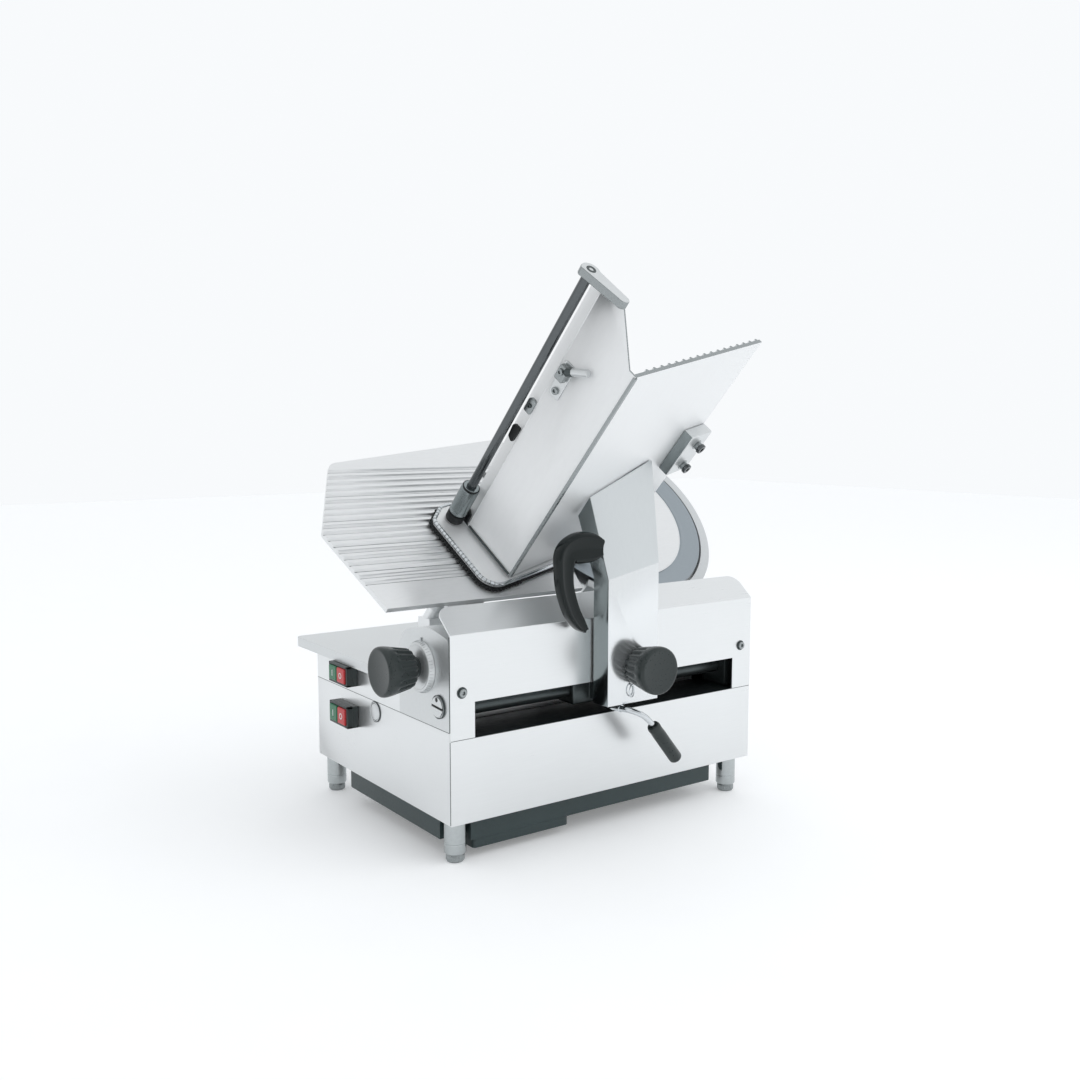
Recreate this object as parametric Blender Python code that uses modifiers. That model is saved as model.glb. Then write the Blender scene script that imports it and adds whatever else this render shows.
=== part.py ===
"""Deli meat slicer: inclined blade, adjustable gauge plate and a sliding, tilting food chute.

Units are metres.  The machine frame has X along the front panel to the right, Y from the
operator to the back and Z up, with its origin at the housing's lower front left corner.
The slicing frame is that frame tilted about X: its X is the same, its Y runs up the slope of
the blade and its Z stands off the blade towards the operator.
"""
import math

import bmesh
import bpy
from mathutils import Matrix, Vector

# ---------------------------------------------------------------- driving dimensions
GAP = 0.0003                 # clearance between touching pieces
SHEET = 0.003                # thickness of the bent sheet panels

BODY_WIDTH = 0.600
BODY_DEPTH = 0.4475
LOWER_HEIGHT = 0.137         # top of the lower housing at its ends and back
FRONT_HEIGHT = 0.125         # top of the lower housing's front panel
DECK_TOP = 0.125             # floor of the carriage bay
TABLE_BOTTOM = 0.1835
TABLE_TOP = 0.200
TABLE_REAR = 0.508
TABLE_LIP = 0.013            # overhang of the table past the left end
FOOT_HEIGHT = 0.0635
FOOT_SIDE = 0.024            # from the housing's end to the middle of a foot
FOOT_FRONT = 0.030
FOOT_BACK = 0.0185
CENTRE_X = 0.2707            # middle of the whole machine in the machine frame
CENTRE_Y = 0.1456

SLICE_ANGLE = math.radians(45.0)
PLANE_Y = 0.070              # a point of the blade plane
PLANE_Z = 0.300
BLADE_X = 0.443
BLADE_S = 0.172
BLADE_RADIUS = 0.180
GUARD_RADIUS = 0.2015
COVER_RADIUS = 0.142

APRON_BEND = 0.279
APRON_TOP = 0.3125
APRON_BACK = 0.040
SLOT_LEFT = 0.041
SLOT_RIGHT = 0.558
SLOT_TOP = 0.178

RAIL_Y = 0.050
RAIL_Z = 0.158
RAIL_RADIUS = 0.0125

DIAL_Y = 0.080
DIAL_Z = 0.2206

CHUTE_X = 0.162              # outer corner of the food chute in the slicing frame
CHUTE_S = 0.041
CHUTE_LENGTH = 0.432
WALL_LENGTH = 0.4932
WALL_WIDTH = 0.111
WALL_LEAN = math.radians(15.0)
TRAY_WIDTH = 0.312
TRAY_TILT = math.radians(16.3)
TRAY_THICK = 0.006
RIB_PITCH = 0.017
RIB_HEIGHT = 0.003
FLANGE_THICK = 0.0115
FLANGE_START = 0.0025

ROD_X = 0.1146
ROD_S = 0.1639
ROD_RADIUS = 0.0073
SLEEVE_RADIUS = 0.0148

ARM_LEFT = 0.2535
ARM_RIGHT = 0.354
ARM_FRONT = -0.040
ARM_BOTTOM = 0.146
PIVOT_Y = -0.034
PIVOT_Z = 0.150
KNOB_X = 0.313
KNOB_Z = 0.2035

# ---------------------------------------------------------------- scene, collections, materials
for old in list(bpy.data.objects):
    bpy.data.objects.remove(old, do_unlink=True)

parts = bpy.data.collections.new("deli_meat_slicer")
cutters = bpy.data.collections.new("cutters")
bpy.context.scene.collection.children.link(parts)
bpy.context.scene.collection.children.link(cutters)


def material(name, colour, roughness, metallic):
    """Return a Principled material."""
    mat = bpy.data.materials.new(name)
    mat.use_nodes = True
    shader = mat.node_tree.nodes["Principled BSDF"]
    shader.inputs["Base Color"].default_value = (*colour, 1.0)
    shader.inputs["Roughness"].default_value = roughness
    shader.inputs["Metallic"].default_value = metallic
    return mat


STEEL = material("brushed_steel", (0.72, 0.74, 0.75), 0.32, 1.0)
ALUMINIUM = material("anodised_aluminium", (0.80, 0.81, 0.82), 0.38, 1.0)
CHROME = material("chrome", (0.80, 0.81, 0.83), 0.08, 1.0)
BLADE_STEEL = material("blade_steel", (0.66, 0.68, 0.70), 0.18, 1.0)
BLACK = material("black_plastic", (0.045, 0.055, 0.055), 0.35, 0.0)
PAN_GREY = material("pan_plastic", (0.065, 0.080, 0.080), 0.55, 0.0)
RUBBER = material("rubber", (0.05, 0.05, 0.05), 0.8, 0.0)
GREEN = material("green_plastic", (0.02, 0.24, 0.12), 0.35, 0.0)
RED = material("red_plastic", (0.60, 0.05, 0.07), 0.35, 0.0)
IRON = material("cast_iron", (0.30, 0.31, 0.32), 0.6, 1.0)


# ---------------------------------------------------------------- modelling helpers
def empty(name, parent, location, tilt=0.0, lean=0.0):
    """A frame that pieces are placed in, tilted about X and then leaned about its own Z."""
    obj = bpy.data.objects.new(name, None)
    parts.objects.link(obj)
    obj.parent = parent
    obj.location = location
    obj.rotation_euler = (Matrix.Rotation(tilt, 3, "X") @ Matrix.Rotation(lean, 3, "Z")).to_euler()
    return obj


def place(obj, parent, location=(0, 0, 0), rotation=(0, 0, 0), mat=None, cutter=False):
    """Link, parent and colour an object."""
    (cutters if cutter else parts).objects.link(obj)
    obj.parent = parent
    obj.location = location
    obj.rotation_euler = rotation
    if cutter:
        obj.hide_render = True
        obj.display_type = "WIRE"
    if mat is not None:
        obj.data.materials.append(mat)
    return obj


def smooth(obj, angle=35.0):
    obj.data.shade_smooth()
    obj.data.set_sharp_from_angle(angle=math.radians(angle))
    return obj


def bevel(obj, width, segments=2, angle=40.0):
    mod = obj.modifiers.new("edge_round", "BEVEL")
    mod.width = width
    mod.segments = segments
    mod.limit_method = "ANGLE"
    mod.angle_limit = math.radians(angle)
    return obj


def box(name, parent, low, high, mat=None, round_edges=0.0, cutter=False):
    """A block between two corners of its parent's frame."""
    low = Vector(low)
    high = Vector(high)
    bm = bmesh.new()
    bmesh.ops.create_cube(bm, size=1.0)
    bmesh.ops.scale(bm, vec=high - low, verts=bm.verts)
    mesh = bpy.data.meshes.new(name)
    bm.to_mesh(mesh)
    bm.free()
    obj = place(bpy.data.objects.new(name, mesh), parent, (low + high) / 2, mat=mat, cutter=cutter)
    if round_edges:
        bevel(obj, round_edges)
    return obj


def cylinder(name, parent, start, axis, radius, length, mat=None, sides=48, cutter=False, top=None):
    """A round bar from start along axis, which is "X", "Y", "Z" or "-X", "-Y", "-Z"."""
    bm = bmesh.new()
    bmesh.ops.create_cone(bm, cap_ends=True, segments=sides, radius1=radius,
                          radius2=radius if top is None else top, depth=length)
    bmesh.ops.translate(bm, vec=(0, 0, length / 2), verts=bm.verts)
    mesh = bpy.data.meshes.new(name)
    bm.to_mesh(mesh)
    bm.free()
    obj = bpy.data.objects.new(name, mesh)
    place(obj, parent, start, TURN[axis], mat, cutter)
    return smooth(obj)


TURN = {
    "Z": (0, 0, 0), "-Z": (math.pi, 0, 0),
    "X": (0, math.pi / 2, 0), "-X": (0, -math.pi / 2, 0),
    "Y": (-math.pi / 2, 0, 0), "-Y": (math.pi / 2, 0, 0),
}


def turned(name, parent, location, axis, profile, mat=None, steps=48, cutter=False):
    """A turned piece: (radius, height) points run down the outer side, round its own Z."""
    closed = profile[0][0] > 0.0 or profile[-1][0] > 0.0
    bm = bmesh.new()
    verts = [bm.verts.new((radius, 0.0, height)) for radius, height in profile]
    for first, second in zip(verts, verts[1:]):
        bm.edges.new((first, second))
    if closed:
        bm.edges.new((verts[-1], verts[0]))
    mesh = bpy.data.meshes.new(name)
    bm.to_mesh(mesh)
    bm.free()
    obj = bpy.data.objects.new(name, mesh)
    place(obj, parent, location, TURN[axis], mat, cutter)
    screw = obj.modifiers.new("turn", "SCREW")
    screw.axis = "Z"
    screw.steps = steps
    screw.render_steps = steps
    screw.use_merge_vertices = True
    screw.merge_threshold = 0.00005
    screw.use_smooth_shade = True
    return to_mesh(obj)


def to_mesh(obj):
    """Replace a curve or a modified piece by its evaluated, welded mesh."""
    graph = bpy.context.evaluated_depsgraph_get()
    mesh = bpy.data.meshes.new_from_object(obj.evaluated_get(graph))
    bm = bmesh.new()
    bm.from_mesh(mesh)
    bmesh.ops.remove_doubles(bm, verts=bm.verts, dist=0.00001)
    bmesh.ops.recalc_face_normals(bm, faces=bm.faces)
    bm.to_mesh(mesh)
    bm.free()
    name = obj.name
    new = bpy.data.objects.new(name + "_mesh", mesh)
    obj.users_collection[0].objects.link(new)
    new.parent = obj.parent
    new.location = obj.location
    new.rotation_euler = obj.rotation_euler
    new.hide_render = obj.hide_render
    new.display_type = obj.display_type
    bpy.data.objects.remove(obj, do_unlink=True)
    new.name = name
    return smooth(new)


PLANES = {
    "XY": Matrix.Identity(3),
    "XZ": Matrix(((1, 0, 0), (0, 0, -1), (0, 1, 0))),
    "YZ": Matrix(((0, 0, 1), (1, 0, 0), (0, 1, 0))),
}


def prism(name, parent, plane, outline, low, high, mat=None, holes=(), cutter=False,
          location=(0, 0, 0), bend=0.0):
    """An outline in a plane of the parent's frame, extruded from low to high across it."""
    curve = bpy.data.curves.new(name, "CURVE")
    curve.dimensions = "2D"
    curve.fill_mode = "BOTH"
    curve.extrude = (high - low) / 2
    for loop in (outline, *holes):
        spline = curve.splines.new("POLY")
        spline.points.add(len(loop) - 1)
        for point, (a, b) in zip(spline.points, loop):
            point.co = (a, b, 0.0, 1.0)
        spline.use_cyclic_u = True
    obj = bpy.data.objects.new(name, curve)
    turn = PLANES[plane]
    if plane == "XZ":
        middle = -(high + low) / 2
    else:
        middle = (high + low) / 2
    offset = Matrix.Rotation(bend, 3, "Z") @ turn @ Vector((0, 0, middle))
    place(obj, parent, Vector(location) + offset, cutter=cutter)
    obj.rotation_euler = (Matrix.Rotation(bend, 3, "Z") @ turn).to_euler()
    if mat is not None:
        obj.data.materials.append(mat)
    return to_mesh(obj)


def rounded(corners, steps=4):
    """Round each (x, y, radius) corner of a polygon with an arc."""
    points = []
    count = len(corners)
    for i, (x, y, radius) in enumerate(corners):
        if radius <= 0.0:
            points.append((x, y))
            continue
        here = Vector((x, y))
        back = (Vector(corners[i - 1][:2]) - here).normalized()
        ahead = (Vector(corners[(i + 1) % count][:2]) - here).normalized()
        half = back.angle(ahead) / 2
        reach = radius / math.tan(half)
        centre = here + (back + ahead).normalized() * (radius / math.sin(half))
        start = here + back * reach - centre
        turn = start.angle_signed(here + ahead * reach - centre)
        for k in range(steps + 1):
            angle = -turn * k / steps
            arm = Matrix.Rotation(angle, 2) @ start
            points.append((centre.x + arm.x, centre.y + arm.y))
    return points


def arc(cx, cy, radius, start, end, steps):
    """Points of an arc, in degrees."""
    angles = [math.radians(start + (end - start) * k / steps) for k in range(steps + 1)]
    return [(cx + radius * math.cos(a), cy + radius * math.sin(a)) for a in angles]


def tube(name, parent, points, radius, mat=None, sides=3, bezier=True):
    """A round bar that follows points."""
    curve = bpy.data.curves.new(name, "CURVE")
    curve.dimensions = "3D"
    curve.bevel_depth = radius
    curve.bevel_resolution = sides
    curve.use_fill_caps = True
    curve.resolution_u = 5
    spline = curve.splines.new("BEZIER" if bezier else "POLY")
    if bezier:
        spline.bezier_points.add(len(points) - 1)
        for node, point in zip(spline.bezier_points, points):
            node.co = point
            node.handle_left_type = "AUTO"
            node.handle_right_type = "AUTO"
    else:
        spline.points.add(len(points) - 1)
        for node, point in zip(spline.points, points):
            node.co = (*point, 1.0)
    obj = place(bpy.data.objects.new(name, curve), parent, mat=mat)
    return to_mesh(obj)


def boolean(obj, tool, operation):
    """Cut a tool from a piece, or join it to the piece."""
    mod = obj.modifiers.new(operation.lower(), "BOOLEAN")
    mod.operation = operation
    mod.solver = "EXACT"
    mod.object = tool
    if tool.name in parts.objects:
        parts.objects.unlink(tool)
        cutters.objects.link(tool)
    tool.hide_render = True
    tool.display_type = "WIRE"
    return obj


def cut(obj, *tools):
    for tool in tools:
        boolean(obj, tool, "DIFFERENCE")
    return obj


def join(obj, *tools):
    for tool in tools:
        boolean(obj, tool, "UNION")
    return obj


# ---------------------------------------------------------------- frames
machine = empty("machine", None, (-CENTRE_X, -CENTRE_Y, FOOT_HEIGHT))
slicing = empty("slicing_frame", machine, (0, PLANE_Y, PLANE_Z), SLICE_ANGLE)

# ---------------------------------------------------------------- lower housing
shell = box("base_shell", machine, (0, 0, 0), (BODY_WIDTH, BODY_DEPTH, LOWER_HEIGHT), STEEL, 0.0012)
cut(
    shell,
    box("shell_room", machine, (SHEET, SHEET, SHEET),
        (BODY_WIDTH - SHEET, BODY_DEPTH - SHEET, DECK_TOP - 0.004), cutter=True),
    box("shell_bay", machine, (SHEET, -0.01, DECK_TOP),
        (BODY_WIDTH - SHEET, BODY_DEPTH - SHEET, 0.15), cutter=True),
    box("shell_underside", machine, (0.075, 0.065, -0.01), (0.505, 0.335, 0.01), cutter=True),
    box("shell_front_lip", machine, (-0.01, -0.01, DECK_TOP), (0.61, SHEET + GAP, 0.15), cutter=True),
    cylinder("shell_drive_hole", machine, (0.090, 0.160, 0.11), "Z", 0.012, 0.03, cutter=True),
)

# ---------------------------------------------------------------- drip pan under the housing
pan = prism("bottom_pan", machine, "XY",
            rounded([(0.010, 0.0500, 0), (0.0450, 0.0500, 0.002), (0.0450, 0.020, 0),
                     (0.531, 0.020, 0.008), (0.531, 0.350, 0.008), (0.010, 0.350, 0.008)]),
            -0.035, -GAP, PAN_GREY)
sump = prism("pan_sump", machine, "XY",
             rounded([(0.0500, 0.0206, 0.006), (0.226, 0.0206, 0.008), (0.226, 0.190, 0.008),
                      (0.0500, 0.190, 0.010)]), -0.049, -0.0335, cutter=True)
join(pan, sump)
cut(
    pan,
    prism("pan_room", machine, "XY",
          rounded([(0.078, 0.068, 0.006), (0.502, 0.068, 0.006), (0.502, 0.332, 0.006),
                   (0.078, 0.332, 0.006)]), -0.032, 0.01, cutter=True),
    prism("sump_room", machine, "XY",
          rounded([(0.081, 0.071, 0.006), (0.222, 0.071, 0.006), (0.222, 0.186, 0.006),
                   (0.081, 0.186, 0.006)]), -0.046, -0.025, cutter=True),
)

# ---------------------------------------------------------------- feet
FEET = {
    "front_left": (FOOT_SIDE, FOOT_FRONT),
    "front_right": (BODY_WIDTH - FOOT_SIDE, FOOT_FRONT),
    "rear_left": (FOOT_SIDE, BODY_DEPTH - FOOT_BACK),
    "rear_right": (BODY_WIDTH - FOOT_SIDE, BODY_DEPTH - FOOT_BACK),
}
for side, (x, y) in FEET.items():
    turned("foot_" + side, machine, (x, y, 0), "Z",
           [(0, -GAP), (0.0165, -GAP), (0.0165, -0.0480), (0.0155, -0.0505), (0.0135, -0.0515),
            (0, -0.0515)],
           ALUMINIUM, 28)
    turned("foot_pad_" + side, machine, (x, y, 0), "Z",
           [(0, -0.0518), (0.0130, -0.0518), (0.0138, -0.0530), (0.0136, -0.0605),
            (0.0120, -FOOT_HEIGHT), (0, -FOOT_HEIGHT)], RUBBER, 24)

# ---------------------------------------------------------------- upper housing behind the apron
upper = box("upper_housing", machine, (0, SHEET + GAP, LOWER_HEIGHT + GAP),
            (BODY_WIDTH, BODY_DEPTH, TABLE_BOTTOM - GAP), STEEL)
cut(
    upper,
    box("upper_room", machine, (0.004, -0.01, 0.10),
        (BODY_WIDTH - 0.004, BODY_DEPTH - 0.004, 0.20), cutter=True),
    box("upper_left_front", machine, (-0.01, -0.01, 0.10), (0.02, 0.150 + GAP, 0.20), cutter=True),
)

# ---------------------------------------------------------------- receiving table
table = prism("table_top", machine, "XY",
              rounded([(0.0455, SHEET + GAP, 0), (BODY_WIDTH, SHEET + GAP, 0.002),
                       (BODY_WIDTH, TABLE_REAR, 0.010), (-TABLE_LIP, TABLE_REAR, 0.010),
                       (-TABLE_LIP, 0.1535, 0.004), (0.0455, 0.1535, 0)]),
              TABLE_BOTTOM, TABLE_TOP, ALUMINIUM,
              holes=[[(0.395, 0.090), (0.395, 0.245), (0.491, 0.245), (0.491, 0.090)]])
bevel(table, 0.003, 2, 60)

# ---------------------------------------------------------------- front apron with its slot
apron = prism("front_apron", machine, "XZ",
              [(0, FRONT_HEIGHT + GAP), (BODY_WIDTH, FRONT_HEIGHT + GAP),
               (BODY_WIDTH, APRON_BEND), (0, APRON_BEND)], 0, SHEET, STEEL)
cut(apron, box("apron_slot", machine, (SLOT_LEFT, -0.01, 0.10), (SLOT_RIGHT, 0.01, SLOT_TOP),
               cutter=True))
flange_angle = math.atan2(APRON_TOP - APRON_BEND, APRON_BACK)
flange_length = math.hypot(APRON_TOP - APRON_BEND, APRON_BACK)
flange_frame = empty("flange_frame", machine, (0, 0, APRON_BEND), flange_angle)
flange = prism("apron_flange", flange_frame, "XY",
               rounded([(0, -0.0008, 0), (BODY_WIDTH, -0.0008, 0),
                        (BODY_WIDTH, flange_length, 0.020), (0, flange_length, 0.020)], 6),
               -SHEET, 0, cutter=True)
join(apron, flange)
for side, x, z in (("left", 0.0195, 0.194), ("right", 0.576, 0.198)):
    turned("apron_screw_" + side, machine, (x, -GAP, z), "-Y",
           [(0, 0.0012), (0.0028, 0.0012), (0.0028, 0.0034), (0.0052, 0.0030),
            (0.0065, 0.0012), (0.0065, 0), (0, 0)], CHROME, 24)

# ---------------------------------------------------------------- left end: dial casting and discs
boss = prism("dial_boss", machine, "YZ",
             rounded([(0.0035, LOWER_HEIGHT + GAP, 0), (0.150, LOWER_HEIGHT + GAP, 0),
                      (0.150, 0.266, 0.042), (0.060, 0.2825, 0.100), (0.0035, 0.2710, 0.012)], 8),
             0.0, 0.045, ALUMINIUM)
cut(
    boss,
    cylinder("dial_bore", machine, (-0.01, DIAL_Y, DIAL_Z), "X", 0.0066, 0.07, sides=32, cutter=True),
    box("boss_hollow", machine, (0.005, -0.01, 0.13), (0.05, 0.16, TABLE_BOTTOM + GAP), cutter=True),
)
turned("end_plug", machine, (-GAP, 0.2305, 0.1205), "-X",
       [(0, 0.0036), (0.008, 0.0030), (0.013, 0.0016), (0.0155, 0.0006), (0.0155, 0), (0, 0)],
       CHROME, 32)

# ---------------------------------------------------------------- switches
for level, low_z, high_z in (("lower", 0.0815, 0.117), ("upper", 0.150, 0.183)):
    housing = box("switch_housing_" + level, machine, (-0.0205, 0.290, low_z),
                  (-GAP, 0.357, high_z), BLACK, 0.0025)
    for colour, low_y, high_y, mat in (("green", 0.3250, 0.3530, GREEN),
                                       ("red", 0.2955, 0.3235, RED)):
        cut(housing, box("button_well_" + level + colour, machine,
                         (-0.03, low_y - 0.0005, low_z + 0.0035),
                         (-0.0110, high_y + 0.0005, high_z - 0.0035), cutter=True))
        box("button_" + colour + "_" + level, machine, (-0.0232, low_y, low_z + 0.0040),
            (-0.0140, high_y, high_z - 0.0040), mat, 0.0012)

# ---------------------------------------------------------------- carriage rail and guide
cylinder("carriage_rail", machine, (0.0200, RAIL_Y, RAIL_Z), "X", RAIL_RADIUS, 0.560, CHROME)
for side, low_x, high_x in (("left", 0.0055, 0.0385), ("right", 0.5615, 0.5945)):
    support = box("rail_block_" + side, machine, (low_x, 0.022, DECK_TOP + GAP),
                  (high_x, 0.078, TABLE_BOTTOM - GAP), IRON, 0.002)
    cut(support, cylinder("rail_seat_" + side, machine, (0.0197, RAIL_Y, RAIL_Z), "X",
                          RAIL_RADIUS + GAP, 0.5606, cutter=True))
box("guide_rail", machine, (0.050, 0.090, DECK_TOP + GAP), (0.550, 0.100, 0.139), STEEL, 0.0008)

# ---------------------------------------------------------------- blade column
column = prism("blade_pedestal", slicing, "XY",
               [(BLADE_X - 0.060, -0.020), (BLADE_X + 0.060, -0.020)]
               + arc(BLADE_X, BLADE_S, 0.080, -41, 221, 24), -0.100, -0.020, ALUMINIUM)
join(column, box("column_foot", machine, (BLADE_X - 0.060, 0.075, TABLE_TOP + GAP),
                 (BLADE_X + 0.060, 0.255, 0.270), cutter=True))
cut(
    column,
    prism("column_room", slicing, "XY",
          [(BLADE_X - 0.054, -0.013), (BLADE_X + 0.054, -0.013)]
          + arc(BLADE_X, BLADE_S, 0.074, -41, 221, 24), -0.094, -0.026, cutter=True),
    box("column_foot_room", machine, (BLADE_X - 0.054, 0.081, 0.15), (BLADE_X + 0.054, 0.249, 0.264),
        cutter=True),
    cylinder("column_bore", slicing, (BLADE_X, BLADE_S, -0.05), "Z", 0.0225, 0.05, cutter=True),
)
turned("bearing_housing", slicing, (BLADE_X, BLADE_S, 0), "Z",
       [(0.040, -0.0263), (0.040, -0.033), (0.032, -0.036), (0.032, -0.066), (0.0205, -0.066),
        (0.0205, -0.0263)], IRON, 40)
turned("blade_pulley", slicing, (BLADE_X, BLADE_S, 0), "Z",
       [(0.048, -0.0090), (0.048, -0.0112), (0.0200, -0.0118), (0.0200, -0.070), (0.036, -0.072),
        (0.036, -0.074), (0.033, -0.076), (0.033, -0.086), (0.036, -0.088), (0.036, -0.090),
        (0.0100, -0.090), (0.0100, -0.0090)], STEEL, 48)
turned("blade", slicing, (BLADE_X, BLADE_S, 0), "Z",
       [(0.1455, -0.0046), (0.1530, -0.0046), (BLADE_RADIUS, -0.0002), (BLADE_RADIUS, -0.0007),
        (0.1530, -0.0087), (0.0150, -0.0087), (0.0150, -0.0050), (0.1455, -0.0050)], BLADE_STEEL, 96)
turned("blade_cover", slicing, (BLADE_X, BLADE_S, 0), "Z",
       [(0, -0.0006), (0.100, -0.0010), (0.136, -0.0016), (COVER_RADIUS, -0.0030),
        (COVER_RADIUS, -0.0044), (0.0140, -0.0044), (0.0094, -0.0080), (0.0094, -0.0930),
        (0, -0.0930)], ALUMINIUM, 80)
guard = turned("blade_guard", slicing, (BLADE_X, BLADE_S, 0), "Z",
               [(0.1845, -0.0025), (GUARD_RADIUS - 0.002, -0.0015), (GUARD_RADIUS, -0.0035),
                (GUARD_RADIUS, -0.0195), (0.050, -0.0195), (0.050, -0.0165), (0.1845, -0.0165)],
               ALUMINIUM, 96)
cut(guard, prism("guard_window", slicing, "XY",
                 arc(BLADE_X, BLADE_S, 0.1841, 131.5, 228.5, 31) + arc(BLADE_X, BLADE_S, 0.23, 228.5, 131.5, 15),
                 -0.031, 0.013, cutter=True))

# ---------------------------------------------------------------- blade motor
MOTOR_S = -0.007
motor = cylinder("blade_motor", slicing, (BLADE_X, MOTOR_S, -0.197), "Z", 0.040, 0.095, IRON, 40)
join(motor, cylinder("motor_nose", slicing, (BLADE_X, MOTOR_S, -0.104), "Z", 0.022, 0.010, sides=32,
                     cutter=True))
cut(motor, cylinder("motor_bore", slicing, (BLADE_X, MOTOR_S, -0.130), "Z", 0.0075, 0.05, sides=32,
                    cutter=True))
turned("motor_pulley", slicing, (BLADE_X, MOTOR_S, 0), "Z",
       [(0, -0.071), (0.020, -0.071), (0.020, -0.074), (0.017, -0.076), (0.017, -0.086),
        (0.020, -0.088), (0.020, -0.091), (0.0070, -0.091), (0.0070, -0.128), (0, -0.128)], STEEL, 36)

# ---------------------------------------------------------------- carriage drive
gearmotor = box("carriage_motor", machine, (0.055, 0.125, 0.018), (0.145, 0.195, 0.1205), IRON, 0.004)
join(gearmotor, cylinder("gearmotor_can", machine, (0.140, 0.160, 0.055), "X", 0.030, 0.110,
                         cutter=True))
cut(gearmotor, cylinder("gearmotor_bore", machine, (0.090, 0.160, 0.095), "Z", 0.0083, 0.03, sides=32,
                        cutter=True))
turned("drive_pulley", machine, (0.090, 0.160, 0), "Z",
       [(0, 0.1365), (0.032, 0.1365), (0.032, 0.1350), (0.030, 0.1340), (0.030, 0.1290),
        (0.032, 0.1280), (0.032, 0.1262), (0.0080, 0.1262), (0.0080, 0.0965), (0, 0.0965)], STEEL, 40)

# ---------------------------------------------------------------- mains inlet at the back
turned("inlet_gland", machine, (0.090, BODY_DEPTH + GAP, 0.070), "Y",
       [(0.0070, 0.024), (0.0085, 0.024), (0.0100, 0.010), (0.0140, 0.009), (0.0140, 0),
        (0.0045, 0), (0.0045, 0.024)], BLACK, 28)

# ---------------------------------------------------------------- gauge plate
GAUGE_THICK = 0.010


def gauge_section():
    """Section across the ribs: a plain rim, then grooves between rounded ribs."""
    points = [(-0.002, -GAUGE_THICK - 0.0005), (0.360, -GAUGE_THICK - 0.0005), (0.360, -0.0012)]
    rib = 0.281
    while rib > 0.055:
        points += [(rib + 0.0030, -0.0012), (rib + 0.0012, -0.0046), (rib - 0.0036, -0.0046),
                   (rib - 0.0058, -0.0012)]
        rib -= RIB_PITCH
    return points + [(-0.002, -0.0012)]


gauge_frame = empty("gauge_frame", slicing, (0.085, 0.070, 0))
gauge = prism("gauge_plate", slicing, "YZ", gauge_section(), -0.110, 0.310, ALUMINIUM)
gauge.parent = gauge_frame
gauge.location -= gauge_frame.location
half_gap = math.degrees(math.asin((BLADE_X - 0.300) / 0.186))
outline = rounded([(0.300, 0.352, 0.006), (-0.046, 0.302, 0.018), (-0.104, 0.164, 0.012),
                   (-0.053, 0.015, 0.004), (0.300, 0.004, 0.004)])
outline += arc(BLADE_X, BLADE_S, 0.186, 270 - half_gap, 90 + half_gap, 28)
intersect = prism("gauge_outline", slicing, "XY", outline, -0.02, 0.01, cutter=True)
boolean(gauge, intersect, "INTERSECT")

carrier = box("gauge_carrier", gauge_frame, (-0.035, -0.125, -0.022), (0.030, 0.075, -0.0108), ALUMINIUM,
              0.002)
join(carrier, cylinder("carrier_sleeve", gauge_frame, (0, 0, -0.078), "Z", 0.021, 0.060, cutter=True))
join(carrier, box("carrier_leg", gauge_frame, (-0.033, -0.145, -0.040), (-0.007, -0.060, -0.013),
                  cutter=True))
cut(carrier, cylinder("carrier_bore", gauge_frame, (0, 0, -0.09), "Z", 0.0125, 0.074, cutter=True))
guide = cylinder("gauge_guide", slicing, (0.085, 0.070, -0.135), "Z", 0.0120, 0.095, STEEL)
join(guide, box("guide_post", machine, (0.073, 0.184, TABLE_TOP + GAP), (0.097, 0.220, 0.268),
                cutter=True))

# ---------------------------------------------------------------- thickness dial and knob


def flute(obj, radius, depth, count, low, high):
    """Press count grooves into the skin of a turned knob between two heights."""
    for vert in obj.data.vertices:
        x, y, z = vert.co
        reach = math.hypot(x, y)
        if reach > radius and low <= z <= high:
            wave = 0.5 - 0.5 * math.cos(count * math.atan2(y, x))
            scale = 1.0 - depth / reach * wave ** 1.5
            vert.co = (x * scale, y * scale, z)
    return obj


def grip_knob(name, parent, location, axis, start, stem):
    """A fluted, tapering knob with a flat face; stem is the profile of its hub and spindle."""
    knob = turned(name, parent, location, axis,
                  [(0, start + 0.052), (0.0335, start + 0.052), (0.0365, start + 0.050),
                   (0.0370, start + 0.045), (0.0350, start + 0.030), (0.0315, start + 0.014),
                   (0.0270, start + 0.006), (0.0240, start), *stem], BLACK, 72)
    return flute(knob, 0.026, 0.0022, 18, start + 0.005, start + 0.031)


dial_frame = empty("dial_frame", machine, (0, DIAL_Y, DIAL_Z))
dial = turned("dial_ring", dial_frame, (-GAP, 0, 0), "-X",
              [(0.0370, 0.0090), (0.0385, 0.0082), (0.0408, 0.0024), (0.0410, 0), (0.0064, 0),
               (0.0064, 0.0090)], ALUMINIUM, 56)
grip_knob("thickness_knob", dial_frame, (0, 0, 0), "-X", 0.0195,
          [(0.0150, 0.0195), (0.0150, 0.0096), (0.0061, 0.0096), (0.0061, -0.048), (0, -0.048)])

# ---------------------------------------------------------------- cam lock on the end casting
cam_frame = empty("cam_frame", machine, (-GAP, 0.0315, 0.1700))
cam = turned("cam_lock", cam_frame, (0, 0, 0), "-X",
             [(0, 0.0040), (0.0155, 0.0040), (0.017, 0.0025), (0.017, 0), (0, 0)], CHROME, 36)
slot = box("cam_slot", cam_frame, (-0.006, -0.020, -0.0013), (-0.0022, 0.020, 0.0013), cutter=True)
slot.rotation_euler = (math.radians(22), 0, 0)
slot.location = (-0.0041, 0, 0)
cut(cam, slot)

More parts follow.
